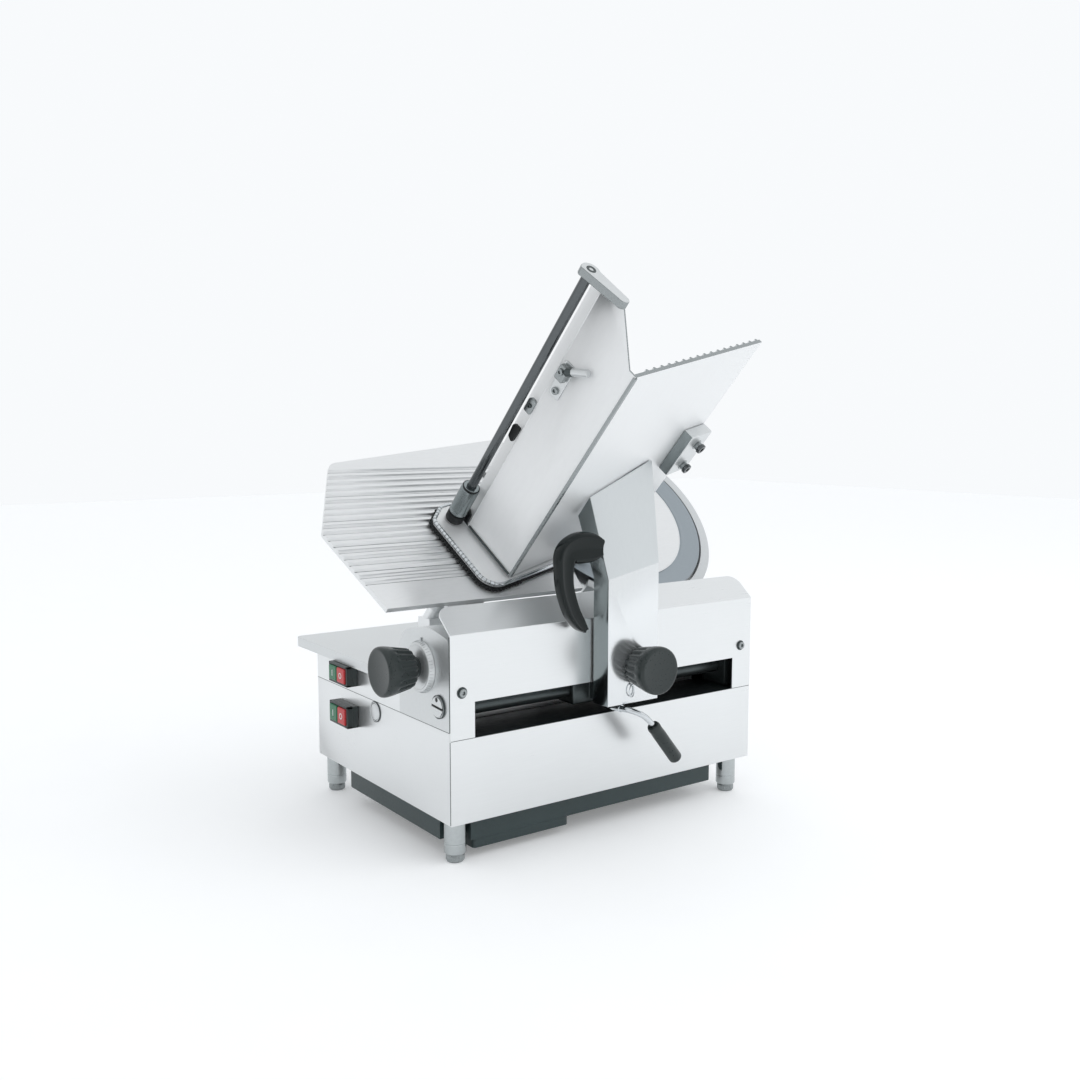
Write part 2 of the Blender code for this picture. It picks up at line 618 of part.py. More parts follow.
# ---------------------------------------------------------------- carriage
carriage = empty("carriage", machine, (0, 0, 0))
block = box("carriage_block", carriage, (0.240, 0.029, 0.137), (0.365, 0.071, 0.179), ALUMINIUM, 0.003)
join(
    block,
    box("carriage_tongue", carriage, (0.272, -0.0342, 0.1445), (0.336, 0.035, 0.170), cutter=True),
    box("carriage_upright", carriage, (0.272, -0.0342, 0.150), (0.336, -0.0065, 0.226), cutter=True),
    box("carriage_shoe", carriage, (0.250, 0.060, 0.1400), (0.355, 0.106, 0.155), cutter=True),
)
cut(
    block,
    cylinder("carriage_bore", carriage, (0.230, RAIL_Y, RAIL_Z), "X", RAIL_RADIUS + GAP, 0.145,
             cutter=True),
    box("stud_notch", carriage, (KNOB_X - 0.0068, -0.05, 0.1865), (KNOB_X + 0.0068, 0.0, 0.25),
        cutter=True),
)

# ---------------------------------------------------------------- support arm and chute
pivot = empty("chute_pivot", carriage, (0.304, PIVOT_Y, PIVOT_Z))
arm_frame = empty("arm_frame", pivot, (-0.304, -PIVOT_Y, -PIVOT_Z))
chute_tilt = empty("chute_frame", pivot, (-0.304, PLANE_Y - PIVOT_Y, PLANE_Z - PIVOT_Z), SLICE_ANGLE)

ARM_ROWS = (
    # left edge x, right edge x, front y left/right, back y left/right, z front left/right, drop
    (ARM_LEFT, ARM_RIGHT, ARM_FRONT, ARM_FRONT, -0.0037, -0.0037, ARM_BOTTOM, ARM_BOTTOM, 0.0),
    (ARM_LEFT, ARM_RIGHT, ARM_FRONT, ARM_FRONT, -0.0037, -0.0037, 0.341, 0.361, 0.0),
    (0.2440, 0.3610, -0.006, -0.013, 0.024, 0.018, 0.4645, 0.5190, 0.030),
)


def folded_arm(name):
    """A channel of bent sheet: a grid whose columns are the flange edges and the two folds."""
    bm = bmesh.new()
    bmesh.ops.create_grid(bm, x_segments=3, y_segments=2, size=1.0)
    for vert in bm.verts:
        column = round((vert.co.x + 1.0) * 1.5)
        row = round(vert.co.y + 1.0)
        left, right, front_l, front_r, back_l, back_r, z_l, z_r, drop = ARM_ROWS[row]
        vert.co = (
            (left, front_l, z_l) if column == 1 else
            (right, front_r, z_r) if column == 2 else
            (left, back_l, z_l - drop) if column == 0 else
            (right, back_r, z_r - drop)
        )
    bmesh.ops.recalc_face_normals(bm, faces=bm.faces)
    mesh = bpy.data.meshes.new(name)
    bm.to_mesh(mesh)
    bm.free()
    return bpy.data.objects.new(name, mesh)


arm = place(folded_arm("support_arm"), arm_frame, mat=STEEL)
skin = arm.modifiers.new("sheet", "SOLIDIFY")
skin.thickness = SHEET
skin.offset = 1.0
skin.use_even_offset = True
bevel(arm, 0.0012, 2, 30)
cut(arm, cylinder("arm_hole", arm_frame, (KNOB_X, -0.05, KNOB_Z), "Y", 0.0066, 0.03, sides=32,
                  cutter=True))

# wall of the chute: its frame has X across the sheet and Y up along the leaning wall
wall_frame = empty("wall_frame", chute_tilt, (CHUTE_X, CHUTE_S, 0), 0.0, WALL_LEAN)
wall = prism("chute_wall", wall_frame, "YZ",
             [(0, 0.0143), (WALL_WIDTH, 0.0143), (WALL_WIDTH, WALL_LENGTH),
              (0.070, WALL_LENGTH), (0.014, CHUTE_LENGTH), (0, CHUTE_LENGTH)],
             0, SHEET, STEEL)
strip_frame = empty("strip_frame", wall_frame, (0.0, WALL_WIDTH, 0), 0.0, -math.radians(30))
join(wall, box("wall_strip", strip_frame, (0, -0.0012, 0.0148), (SHEET, 0.030, WALL_LENGTH - 0.0005),
               cutter=True))

# ribbed tray: its frame has X along the tray and Y off its upper face
tray_frame = empty("tray_frame", chute_tilt, (CHUTE_X, CHUTE_S, 0), 0.0, TRAY_TILT)


def tray_section():
    """Flat underside and rounded ribs on top."""
    points = [(0.0042, 0.0), (TRAY_WIDTH, 0.0), (TRAY_WIDTH, TRAY_THICK)]
    rib = TRAY_WIDTH - 0.008
    while rib > 0.016:
        points += [(rib + 0.0035, TRAY_THICK), (rib + 0.0015, TRAY_THICK + RIB_HEIGHT),
                   (rib - 0.0015, TRAY_THICK + RIB_HEIGHT), (rib - 0.0035, TRAY_THICK)]
        rib -= RIB_PITCH
    return points + [(0.0042, TRAY_THICK)]


prism("chute_tray", tray_frame, "XY", tray_section(), 0.0143, CHUTE_LENGTH, ALUMINIUM)
bracket = box("tray_bracket", tray_frame, (0.2555, -0.0200, 0.176), (0.3115, -GAP, 0.262), ALUMINIUM,
              0.002)
for height in (0.192, 0.238):
    join(bracket, cylinder("bracket_bolt_%d" % (height * 1000), tray_frame, (0.288, -0.0190, height), "-Y",
                           0.0055, 0.013, sides=24, cutter=True))


def chute_point(along, off, frame_angle, wall_side):
    """A point of the slicing plane, given along and across the wall or the tray."""
    if wall_side:
        return (CHUTE_X - math.sin(frame_angle) * along + math.cos(frame_angle) * off,
                CHUTE_S + math.cos(frame_angle) * along + math.sin(frame_angle) * off)
    return (CHUTE_X + math.cos(frame_angle) * along - math.sin(frame_angle) * off,
            CHUTE_S + math.sin(frame_angle) * along + math.cos(frame_angle) * off)


# end flange round the mouth of the chute
mouth = [
    (*chute_point(0.160, 0.0035, WALL_LEAN, True), 0.006),
    (*chute_point(0.010, 0.0035, WALL_LEAN, True), 0.006),
    (*chute_point(0.300, 0.0095, TRAY_TILT, False), 0.003),
    (*chute_point(0.300, -0.0200, TRAY_TILT, False), 0.010),
    (0.1174, 0.0211, 0.032),
    (0.0762, 0.1650, 0.014),
    (0.1020, 0.1945, 0.012),
]
prism("chute_flange", chute_tilt, "XY", rounded(mouth), FLANGE_START, FLANGE_START + FLANGE_THICK,
      ALUMINIUM)

latch = box("wall_latch", wall_frame, (-0.0110, 0.080, 0.312), (-GAP, 0.106, 0.372), STEEL, 0.0015)
join(latch, box("latch_hook", wall_frame, (-0.022, 0.072, 0.356), (-0.006, 0.094, 0.369), cutter=True))

# ---------------------------------------------------------------- bow handle on the arm
HANDLE_BOW = [
    (0.2478, 0.404, 0.0), (0.2200, 0.4190, 0.010), (0.1640, 0.4000, 0.020), (0.1730, 0.325, 0.060),
    (0.2160, 0.2640, 0.003), (0.2240, 0.2710, 0.003), (0.1990, 0.310, 0.050), (0.1975, 0.3700, 0.006),
    (0.2150, 0.3620, 0.006), (0.2497, 0.376, 0.0),
]
handle = prism("bow_handle", arm_frame, "XZ", rounded(HANDLE_BOW), -0.036, -0.012, BLACK)
bevel(handle, 0.004, 2, 50)

# ---------------------------------------------------------------- clamp knob of the arm
knob_frame = empty("knob_frame", arm_frame, (KNOB_X, ARM_FRONT - GAP, KNOB_Z))
grip_knob("arm_knob", knob_frame, (0, 0, 0), "-Y", 0.0, [(0.0061, 0), (0.0061, -0.030), (0, -0.030)])

# ---------------------------------------------------------------- drive lever under the arm
LEVER_X = 0.288
LEVER_Z = 0.1375
LEVER_ANGLE = math.radians(51)      # slope of the grip below the horizontal
lever_frame = empty("lever_frame", carriage, (LEVER_X, 0.0, LEVER_Z))
grip_frame = empty("grip_frame", lever_frame, (0.0385, -0.060, -0.0260))
grip_frame.rotation_euler = (0, math.pi / 2 + LEVER_ANGLE, 0)


def along_grip(distance):
    """A point of the grip's axis in the lever's frame."""
    return (0.0385 + distance * math.cos(LEVER_ANGLE), -0.060,
            -0.0260 - distance * math.sin(LEVER_ANGLE))


lever = tube("lever_rod", lever_frame,
             [(0.0, -0.020, 0.0), (0.0, -0.034, 0.0), (0.006, -0.050, -0.001),
              (0.0200, -0.059, -0.0085), along_grip(-0.006), along_grip(0.007), along_grip(0.020)],
             0.0045, CHROME)
join(lever, cylinder("lever_hub", lever_frame, (0, -0.031, 0), "Y", 0.0063, 0.036, sides=28,
                     cutter=True))
turned("lever_grip", grip_frame, (0, 0, 0), "Z",
       [(0, 0.080), (0.0075, 0.080), (0.0095, 0.077), (0.0095, 0.004), (0.0080, 0.0),
        (0.0058, 0.0), (0.0058, 0.024), (0, 0.024)], BLACK, 28)

# ---------------------------------------------------------------- pusher rod, bar and pusher
turned("pusher_rod", chute_tilt, (ROD_X, ROD_S, 0), "Z",
       [(0, 0.4932), (ROD_RADIUS, 0.4932), (ROD_RADIUS, 0.0310), (0.012, 0.0300), (0.012, 0.0143),
        (0, 0.0143)], CHROME, 32)
rod_w = 0.131
rod_off = -0.014
bar_outline = (
    arc(rod_off, rod_w, 0.0145, -30, 150, 10)
    + arc(-0.0060, 0.072, 0.0085, 170, 350, 8)
)
prism("rod_top_bar", wall_frame, "XY", bar_outline, WALL_LENGTH + GAP, 0.5060, ALUMINIUM)

pusher = empty("pusher_frame", chute_tilt, (ROD_X, ROD_S, 0))
turned("pusher_sleeve", pusher, (0, 0, 0), "Z",
       [(0.0130, 0.0900), (SLEEVE_RADIUS, 0.0885), (SLEEVE_RADIUS, 0.0330), (0.0130, 0.0315),
        (ROD_RADIUS + GAP, 0.0315), (ROD_RADIUS + GAP, 0.0900)], CHROME, 40)

BAR_WIDTH = 0.0045
bar_reach = Vector((0.0420, 0.0428))       # over the wall's folded edge
plate_centre = Vector((0.0950, -0.0360))   # middle of the press plate from the rod


def strip_outline(points, half_width):
    """Outline of a flat bar that follows points."""
    sides = ([], [])
    for i, point in enumerate(points):
        before = points[max(i - 1, 0)]
        after = points[min(i + 1, len(points) - 1)]
        across = (after - before).normalized().orthogonal()
        sides[0].append(tuple(point + across * half_width))
        sides[1].append(tuple(point - across * half_width))
    return sides[0] + sides[1][::-1]


path = [Vector((0.0, 0.0)), bar_reach * 0.8, bar_reach, bar_reach + Vector((0.012, 0.006)),
        bar_reach + Vector((0.026, -0.004)), plate_centre + Vector((0.006, 0.026)), plate_centre]
reach_arm = prism("pusher_arm", pusher, "XY", strip_outline(path, BAR_WIDTH), 0.060, 0.071, STEEL)
join(reach_arm, cylinder("arm_post", pusher, (*plate_centre, 0.0415), "Z", 0.008, 0.034, sides=28,
                         cutter=True))
cut(reach_arm, cylinder("sleeve_seat", pusher, (0, 0, 0.05), "Z", SLEEVE_RADIUS + GAP,
                        0.04, cutter=True))

press_frame = empty("press_frame", pusher, (CHUTE_X - ROD_X, CHUTE_S - ROD_S, 0), 0.0, TRAY_TILT)
press = prism("pusher_plate", press_frame, "XY",
              rounded([(0.014, 0.016, 0.006), (0.150, 0.016, 0.006), (0.150, 0.060, 0.012),
                       (0.070, 0.118, 0.012), (0.014, 0.118, 0.010)]), 0.0365, 0.0412, ALUMINIUM)
for row, along, height in ((0, 0.035, 0.035), (1, 0.075, 0.035), (2, 0.115, 0.035),
                           (3, 0.035, 0.075), (4, 0.075, 0.075)):
    join(press, cylinder("press_tooth_%d" % row, press_frame, (along, height, 0.0375), "-Z", 0.004, 0.016,
                         sides=8, cutter=True, top=0.001))
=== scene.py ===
"""Deli meat slicer: finishes, finer pieces, floor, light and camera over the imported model.

Pieces are placed in the machine frame, which has its origin at the housing's lower front left
corner, or in the slicing frame, which is that frame tilted to the blade's plane.
"""

import math

import bmesh
import bpy
from mathutils import Matrix, Vector


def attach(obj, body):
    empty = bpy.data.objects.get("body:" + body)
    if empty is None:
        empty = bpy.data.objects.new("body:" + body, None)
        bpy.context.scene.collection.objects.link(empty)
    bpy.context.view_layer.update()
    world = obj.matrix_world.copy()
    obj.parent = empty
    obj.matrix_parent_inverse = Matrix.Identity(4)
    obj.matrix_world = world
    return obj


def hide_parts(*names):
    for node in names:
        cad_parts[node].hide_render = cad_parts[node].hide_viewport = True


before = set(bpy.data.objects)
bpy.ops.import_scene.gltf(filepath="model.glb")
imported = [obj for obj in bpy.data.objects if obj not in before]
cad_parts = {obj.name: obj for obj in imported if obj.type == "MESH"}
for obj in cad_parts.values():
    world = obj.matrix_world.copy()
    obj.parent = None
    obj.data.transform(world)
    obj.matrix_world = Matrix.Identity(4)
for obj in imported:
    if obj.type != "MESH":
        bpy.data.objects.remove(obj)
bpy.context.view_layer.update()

# ---------------------------------------------------------------- dimensions shared with the model
CENTRE_X = 0.2707
CENTRE_Y = 0.1456
FOOT_HEIGHT = 0.0635
BLADE_X = 0.443
BLADE_S = 0.172
CHUTE_X = 0.162
CHUTE_S = 0.041
ROD_X = 0.1146
ROD_S = 0.1639
DIAL_Y = 0.080
DIAL_Z = 0.2206
WALL_TURN = 15
TRAY_TURN = 16.3
GAP = 0.0003
EYE = Matrix.Identity(4)
BASE = "base"


def shifted(parent, x, y, z, axis="Z", degrees=0.0):
    """A frame at a point of another one, turned about one axis."""
    return parent @ Matrix.Translation((x, y, z)) @ Matrix.Rotation(math.radians(degrees), 4, axis)


MACHINE = Matrix.Translation((-CENTRE_X, -CENTRE_Y, FOOT_HEIGHT))
SLICING = shifted(MACHINE, 0, 0.070, 0.300, "X", 45)
BLADE = shifted(SLICING, BLADE_X, BLADE_S, 0)
WALL = shifted(SLICING, CHUTE_X, CHUTE_S, 0, "Z", WALL_TURN)
TRAY = shifted(SLICING, CHUTE_X, CHUTE_S, 0, "Z", TRAY_TURN)
ROD = shifted(SLICING, ROD_X, ROD_S, 0)
DIAL = shifted(MACHINE, 0, DIAL_Y, DIAL_Z, "Y", -90)
KNOB = shifted(MACHINE, 0.313, -0.0403, 0.2035, "X", 90)
LEVER = shifted(MACHINE, 0.288, 0, 0.1375)
PLUG = shifted(MACHINE, -GAP, 0.2305, 0.1205, "Y", -90)
CAM = shifted(MACHINE, -GAP, 0.0315, 0.1700, "Y", -90)


# ---------------------------------------------------------------- finishes
STREAK_SCALE = 10.0
CLOUD_SCALE = 7.0
FINE_SCALE = 900.0
COAT_ROUGHNESS = 0.08
RELIEF_DEPTH = 0.001


def finish(name, colour, rough, metal, grain=(60, 60, 60), tone=0.06, rough_swing=0.08,
           bump=0.02, coat=0.0, specks=0.0, specular=0.5):
    """A procedural finish: grain along the least scaled axis, cloudy unevenness, fine relief."""
    mat = bpy.data.materials.new(name)
    mat.use_nodes = True
    tree = mat.node_tree
    shader = tree.nodes["Principled BSDF"]
    shader.inputs["Metallic"].default_value = metal
    shader.inputs["Coat Weight"].default_value = coat
    shader.inputs["Coat Roughness"].default_value = COAT_ROUGHNESS
    shader.inputs["Specular IOR Level"].default_value = specular
    coords = tree.nodes.new("ShaderNodeTexCoord")
    stretch = tree.nodes.new("ShaderNodeMapping")
    stretch.inputs["Scale"].default_value = grain
    tree.links.new(coords.outputs["Object"], stretch.inputs["Vector"])

    def noise(vector, scale, detail):
        node = tree.nodes.new("ShaderNodeTexNoise")
        node.inputs["Scale"].default_value = scale
        node.inputs["Detail"].default_value = detail
        tree.links.new(vector, node.inputs["Vector"])
        return node.outputs["Fac"]

    def spread(source, low, high):
        node = tree.nodes.new("ShaderNodeMapRange")
        node.inputs["From Min"].default_value = 0.25
        node.inputs["From Max"].default_value = 0.75
        node.inputs["To Min"].default_value = low
        node.inputs["To Max"].default_value = high
        tree.links.new(source, node.inputs["Value"])
        return node.outputs["Result"]

    def maths(operation, first, second):
        node = tree.nodes.new("ShaderNodeMath")
        node.operation = operation
        tree.links.new(first, node.inputs[0])
        tree.links.new(second, node.inputs[1])
        return node.outputs["Value"]

    streaks = noise(stretch.outputs["Vector"], STREAK_SCALE, 6.0)
    cloud = noise(coords.outputs["Object"], CLOUD_SCALE, 3.0)
    fine = noise(coords.outputs["Object"], FINE_SCALE, 2.0)
    value = maths("MULTIPLY", spread(streaks, 1 - tone, 1 + tone * 0.4),
                  spread(cloud, 1 - tone, 1 + tone * 0.4))
    if specks:
        value = maths("MULTIPLY", value, spread(fine, 1 - specks, 1 + specks))
    tint = tree.nodes.new("ShaderNodeVectorMath")
    tint.operation = "SCALE"
    tint.inputs[0].default_value = colour
    tree.links.new(value, tint.inputs["Scale"])
    tree.links.new(tint.outputs["Vector"], shader.inputs["Base Color"])
    gloss = maths("ADD", spread(streaks, rough - rough_swing / 2, rough + rough_swing / 2),
                  spread(cloud, -rough_swing / 3, rough_swing / 3))
    tree.links.new(gloss, shader.inputs["Roughness"])
    relief = tree.nodes.new("ShaderNodeBump")
    relief.inputs["Strength"].default_value = bump
    relief.inputs["Distance"].default_value = RELIEF_DEPTH
    tree.links.new(maths("ADD", streaks, fine) if specks else streaks, relief.inputs["Height"])
    tree.links.new(relief.outputs["Normal"], shader.inputs["Normal"])
    return mat


FINISHES = {
    "panel": finish("brushed_panel", (0.79, 0.805, 0.81), 0.29, 0.88, (2, 50, 50), 0.015, 0.03, 0.002),
    "arm": finish("brushed_upright", (0.78, 0.80, 0.81), 0.17, 0.9, (30, 30, 1), 0.015, 0.02, 0.0),
    "chute": finish("brushed_chute", (0.84, 0.85, 0.855), 0.40, 0.45, (60, 4, 4), 0.02, 0.05, 0.004),
    "cast": finish("polished_casting", (0.69, 0.71, 0.715), 0.38, 0.85, (20, 20, 20), 0.04, 0.10, 0.05),
    "tray": finish("anodised_tray", (0.80, 0.81, 0.815), 0.36, 0.85, (8, 40, 40), 0.03, 0.06, 0.01),
    "guard": finish("pale_guard", (0.62, 0.64, 0.65), 0.45, 0.6, (20, 20, 20), 0.04),
    "groove": finish("rib_groove_painted_shade", (0.25, 0.27, 0.275), 0.30, 1.0, (8, 40, 40), 0.06),
    "chrome": finish("chrome", (0.66, 0.69, 0.71), 0.12, 1.0, (20, 20, 20), 0.04, 0.05, 0.01),
    "foot": finish("foot_steel", (0.48, 0.51, 0.515), 0.10, 1.0, (20, 20, 20), 0.06, 0.06, 0.01),
    "upper_arm_shade": finish("brushed_slope_painted_shade", (0.66, 0.69, 0.70), 0.30, 0.9, (30, 30, 1), 0.015, 0.02, 0.0),
    "rod": finish("slide_steel", (0.13, 0.14, 0.145), 0.12, 1.0, (20, 20, 20), 0.05, 0.05, 0.01),
    "blade": finish("ground_blade", (0.34, 0.38, 0.41), 0.32, 1.0, (30, 30, 30), 0.03, 0.04, 0.0),
    "screw": finish("screw_steel_and_painted_shade", (0.36, 0.385, 0.39), 0.28, 1.0, (30, 30, 30), 0.10),
    "shade": finish("dark_steel_and_painted_shade", (0.30, 0.335, 0.34), 0.20, 1.0, (60, 60, 2), 0.06),
    "dark_metal_and_shade": finish("dark_metal_and_shade", (0.085, 0.10, 0.102), 0.35, 0.8, (30, 30, 30), 0.12),
    "knob": finish("knob_plastic", (0.020, 0.028, 0.028), 0.30, 0.0, (30, 30, 30), 0.06, 0.08, 0.006,
                   0.0, 0.04, 0.42),
    "gloss": finish("gloss_plastic", (0.004, 0.008, 0.008), 0.14, 0.0, (20, 20, 20), 0.10, 0.06, 0.02,
                    0.0, 0.0, 0.28),
    "pan": finish("pan_plastic", (0.030, 0.048, 0.050), 0.42, 0.0, (30, 30, 30), 0.10, 0.10, 0.08,
                  0.0, 0.12, 0.4),
    "rubber": finish("rubber", (0.012, 0.014, 0.015), 0.50, 0.0, (30, 30, 30), 0.15, 0.10, 0.10, 0.0,
                     0.1, 0.3),
    "recess_shade": finish("painted_recess_shade", (0.012, 0.015, 0.016), 0.40, 0.0, (6, 30, 30), 0.25, 0.20, 0.03,
                     0.0, 0.0, 0.3),
    "green": finish("green_button", (0.008, 0.150, 0.065), 0.30, 0.0, (30, 30, 30), 0.10, 0.08, 0.03),
    "red": finish("red_button", (0.520, 0.025, 0.030), 0.30, 0.0, (30, 30, 30), 0.10, 0.08, 0.03),
    "mark": finish("pale_mark", (0.75, 0.77, 0.76), 0.50, 0.0, (30, 30, 30), 0.08),
    "iron": finish("cast_iron", (0.30, 0.31, 0.32), 0.60, 0.7, (20, 20, 20), 0.15, 0.15, 0.20),
}


# ---------------------------------------------------------------- shapes
PIECE_BEVEL_ANGLE = 32
NODE_BEVEL_ANGLE = 28


def lathe(profile, steps=96, wave=None, start=0.0, sweep=360.0):
    """Turn (radius, height) points about Z; wave(angle, radius, height) scales the radius."""
    bm = bmesh.new()
    whole = sweep >= 360.0
    columns = []
    poles = {}
    for k in range(steps if whole else steps + 1):
        angle = math.radians(start + sweep * k / steps)
        column = []
        for i, (radius, height) in enumerate(profile):
            if radius == 0.0:
                if i not in poles:
                    poles[i] = bm.verts.new((0, 0, height))
                column.append(poles[i])
                continue
            reach = radius * (wave(angle, radius, height) if wave else 1.0)
            column.append(bm.verts.new((reach * math.cos(angle), reach * math.sin(angle), height)))
        columns.append(column)
    pairs = list(zip(columns, columns[1:]))
    if whole:
        pairs.append((columns[-1], columns[0]))
    closed = profile[0][0] > 0.0 and profile[-1][0] > 0.0
    rows = len(profile)
    for left, right in pairs:
        for i in range(rows if closed else rows - 1):
            j = (i + 1) % rows
            corners = []
            for vert in (left[i], left[j], right[j], right[i]):
                if vert not in corners:
                    corners.append(vert)
            if len(corners) > 2:
                bm.faces.new(corners)
    if not whole:
        bm.faces.new(columns[0])
        bm.faces.new(columns[-1])
    return bm


def slab(plane, outline, low, high):
    """An outline in the XY, XZ or YZ plane, extruded from low to high across it."""
    bm = bmesh.new()
    order = {"XY": lambda a, b, c: (a, b, c), "XZ": lambda a, b, c: (a, c, b),
             "YZ": lambda a, b, c: (c, a, b)}[plane]
    bottom = [bm.verts.new(order(a, b, low)) for a, b in outline]
    top = [bm.verts.new(order(a, b, high)) for a, b in outline]
    bm.faces.new(bottom[::-1])
    bm.faces.new(top)
    for i in range(len(outline)):
        j = (i + 1) % len(outline)
        bm.faces.new((bottom[i], bottom[j], top[j], top[i]))
    return bm


def block(low, high):
    """A box between two corners, for a bevel."""
    return slab("XY", [(low[0], low[1]), (high[0], low[1]), (high[0], high[1]), (low[0], high[1])],
                low[2], high[2])


def rounded(corners, steps=6):
    """Round each (x, y, radius) corner of a polygon with an arc."""
    points = []
    count = len(corners)
    for i, (x, y, radius) in enumerate(corners):
        if radius <= 0.0:
            points.append((x, y))
            continue
        here = Vector((x, y))
        back = (Vector(corners[i - 1][:2]) - here).normalized()
        ahead = (Vector(corners[(i + 1) % count][:2]) - here).normalized()
        half = back.angle(ahead) / 2
        centre = here + (back + ahead).normalized() * (radius / math.sin(half))
        start = here + back * (radius / math.tan(half)) - centre
        turn = start.angle_signed(here + ahead * (radius / math.tan(half)) - centre)
        for k in range(steps + 1):
            arm = Matrix.Rotation(-turn * k / steps, 2) @ start
            points.append((centre.x + arm.x, centre.y + arm.y))
    return points


def arc(cx, cy, radius, start, end, steps):
    """Points of an arc, in degrees."""
    angles = [math.radians(start + (end - start) * k / steps) for k in range(steps + 1)]
    return [(cx + radius * math.cos(a), cy + radius * math.sin(a)) for a in angles]


def flowing(points, steps=8):
    """A smooth line through points."""
    nodes = [Vector(p) for p in points]
    nodes = [2 * nodes[0] - nodes[1], *nodes, 2 * nodes[-1] - nodes[-2]]
    line = []
    for a, b, c, d in zip(nodes, nodes[1:], nodes[2:], nodes[3:]):
        for k in range(steps):
            t = k / steps
            line.append(0.5 * (2 * b + (c - a) * t + (2 * a - 5 * b + 4 * c - d) * t * t
                               + (3 * b - a - 3 * c + d) * t ** 3))
    return line + [nodes[-2]]


def hose(points, radius, sides=20, closed=False):
    """A round bar along points."""
    bm = bmesh.new()
    rings = []
    across = None
    count = len(points)
    for i, point in enumerate(points):
        before = points[i - 1] if closed else points[max(i - 1, 0)]
        after = points[(i + 1) % count] if closed else points[min(i + 1, count - 1)]
        along = (after - before).normalized()
        if across is None:
            across = along.orthogonal().normalized()
        across = (across - along * across.dot(along)).normalized()
        other = along.cross(across)
        turns = [2 * math.pi * k / sides for k in range(sides)]
        rings.append([bm.verts.new(point + radius * (math.cos(a) * across + math.sin(a) * other))
                      for a in turns])
    pairs = list(zip(rings, rings[1:]))
    if closed:
        pairs.append((rings[-1], rings[0]))
    for first, second in pairs:
        for k in range(sides):
            m = (k + 1) % sides
            bm.faces.new((first[k], first[m], second[m], second[k]))
    if not closed:
        bm.faces.new(rings[0])
        bm.faces.new(rings[-1])
    return bm


def merged(*shapes):
    """Several shapes, each with its frame, as one mesh; shapes is (bmesh, matrix) pairs."""
    whole = bmesh.new()
    for shape, matrix in shapes:
        shape.transform(matrix)
        mesh = bpy.data.meshes.new("part")
        shape.to_mesh(mesh)
        shape.free()
        whole.from_mesh(mesh)
        bpy.data.meshes.remove(mesh)
    return whole


def piece(name, shape, where, look, body, stands_for=(), bevel=0.0, angle=35.0, segments=3):
    """Link a shape in a frame, with a finish, on a CAD body, in place of some CAD nodes."""
    bmesh.ops.recalc_face_normals(shape, faces=shape.faces)
    mesh = bpy.data.meshes.new(name)
    shape.to_mesh(mesh)
    shape.free()
    for face in mesh.polygons:
        face.use_smooth = True
    mesh.set_sharp_from_angle(angle=math.radians(angle))
    obj = bpy.data.objects.new(name, mesh)
    bpy.context.scene.collection.objects.link(obj)
    obj.matrix_world = where
    obj.data.materials.append(FINISHES[look])
    if bevel:
        edge = obj.modifiers.new("edge", "BEVEL")
        edge.width = bevel
        edge.segments = segments
        edge.limit_method = "ANGLE"
        edge.angle_limit = math.radians(PIECE_BEVEL_ANGLE)
        edge.harden_normals = True
    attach(obj, body)
    if stands_for:
        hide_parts(*stands_for)
    return obj


# ---------------------------------------------------------------- CAD nodes that stay
WELD_DISTANCE = 0.00002
NODE_BEVEL = 0.0004
KEPT = {
    "panel": ("base_shell", "upper_housing", "front_apron", "guide_rail", "blade_pulley",
              "motor_pulley", "drive_pulley", "gauge_guide", "pusher_arm"),
    "arm": ("support_arm",),
    "chute": ("chute_wall", "chute_tray"),
    "cast": ("table_top", "dial_boss", "blade_pedestal", "gauge_carrier", "pusher_plate"),
    "dark_metal_and_shade": ("carriage_block", "carriage_rail", "rail_block_left", "rail_block_right"),
    "pan": ("bottom_pan",),
    "rubber": ("inlet_gland",),
    "iron": ("bearing_housing", "blade_motor", "carriage_motor"),
}
EDGES = {"base_shell": 0.0006, "table_top": 0.0008, "dial_boss": 0.0022, "bottom_pan": 0.0020,
         "chute_tray": 0.0004, "carriage_block": 0.0010, "support_arm": 0.0006}
for look, names in KEPT.items():
    for name in names:
        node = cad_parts[name]
        node.data.materials.clear()
        node.data.materials.append(FINISHES[look])
        if "custom_normal" in node.data.attributes:
            node.data.attributes.remove(node.data.attributes["custom_normal"])
        for face in node.data.polygons:
            face.use_smooth = True
        weld = node.modifiers.new("weld", "WELD")
        weld.merge_threshold = WELD_DISTANCE
        edge = node.modifiers.new("edge", "BEVEL")
        edge.width = EDGES.get(name, NODE_BEVEL)
        edge.segments = 3
        edge.limit_method = "ANGLE"
        edge.angle_limit = math.radians(NODE_BEVEL_ANGLE)
        edge.harden_normals = True

# painted shade: the arm's side face gets a darker finish, and its slanted upper part one a little darker
# than the plate below
arm_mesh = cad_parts["support_arm"].data
arm_mesh.materials.append(FINISHES["shade"])
arm_mesh.materials.append(FINISHES["upper_arm_shade"])
for face in arm_mesh.polygons:
    if face.normal.x < -0.8:
        face.material_index = 1
    elif face.normal.z > 0.08:
        face.material_index = 2

# painted shade: faces within the carriage bay and on the back of the apron get a dark finish
bay_low = MACHINE @ Vector((0.002, 0.0015, 0.1235))
bay_high = MACHINE @ Vector((0.598, 0.446, 0.1845))
for name in ("base_shell", "upper_housing", "front_apron"):
    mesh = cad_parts[name].data
    mesh.materials.append(FINISHES["recess_shade"])
    for face in mesh.polygons:
        middle = face.center
        if all(bay_low[i] < middle[i] < bay_high[i] for i in range(3)):
            face.material_index = 1


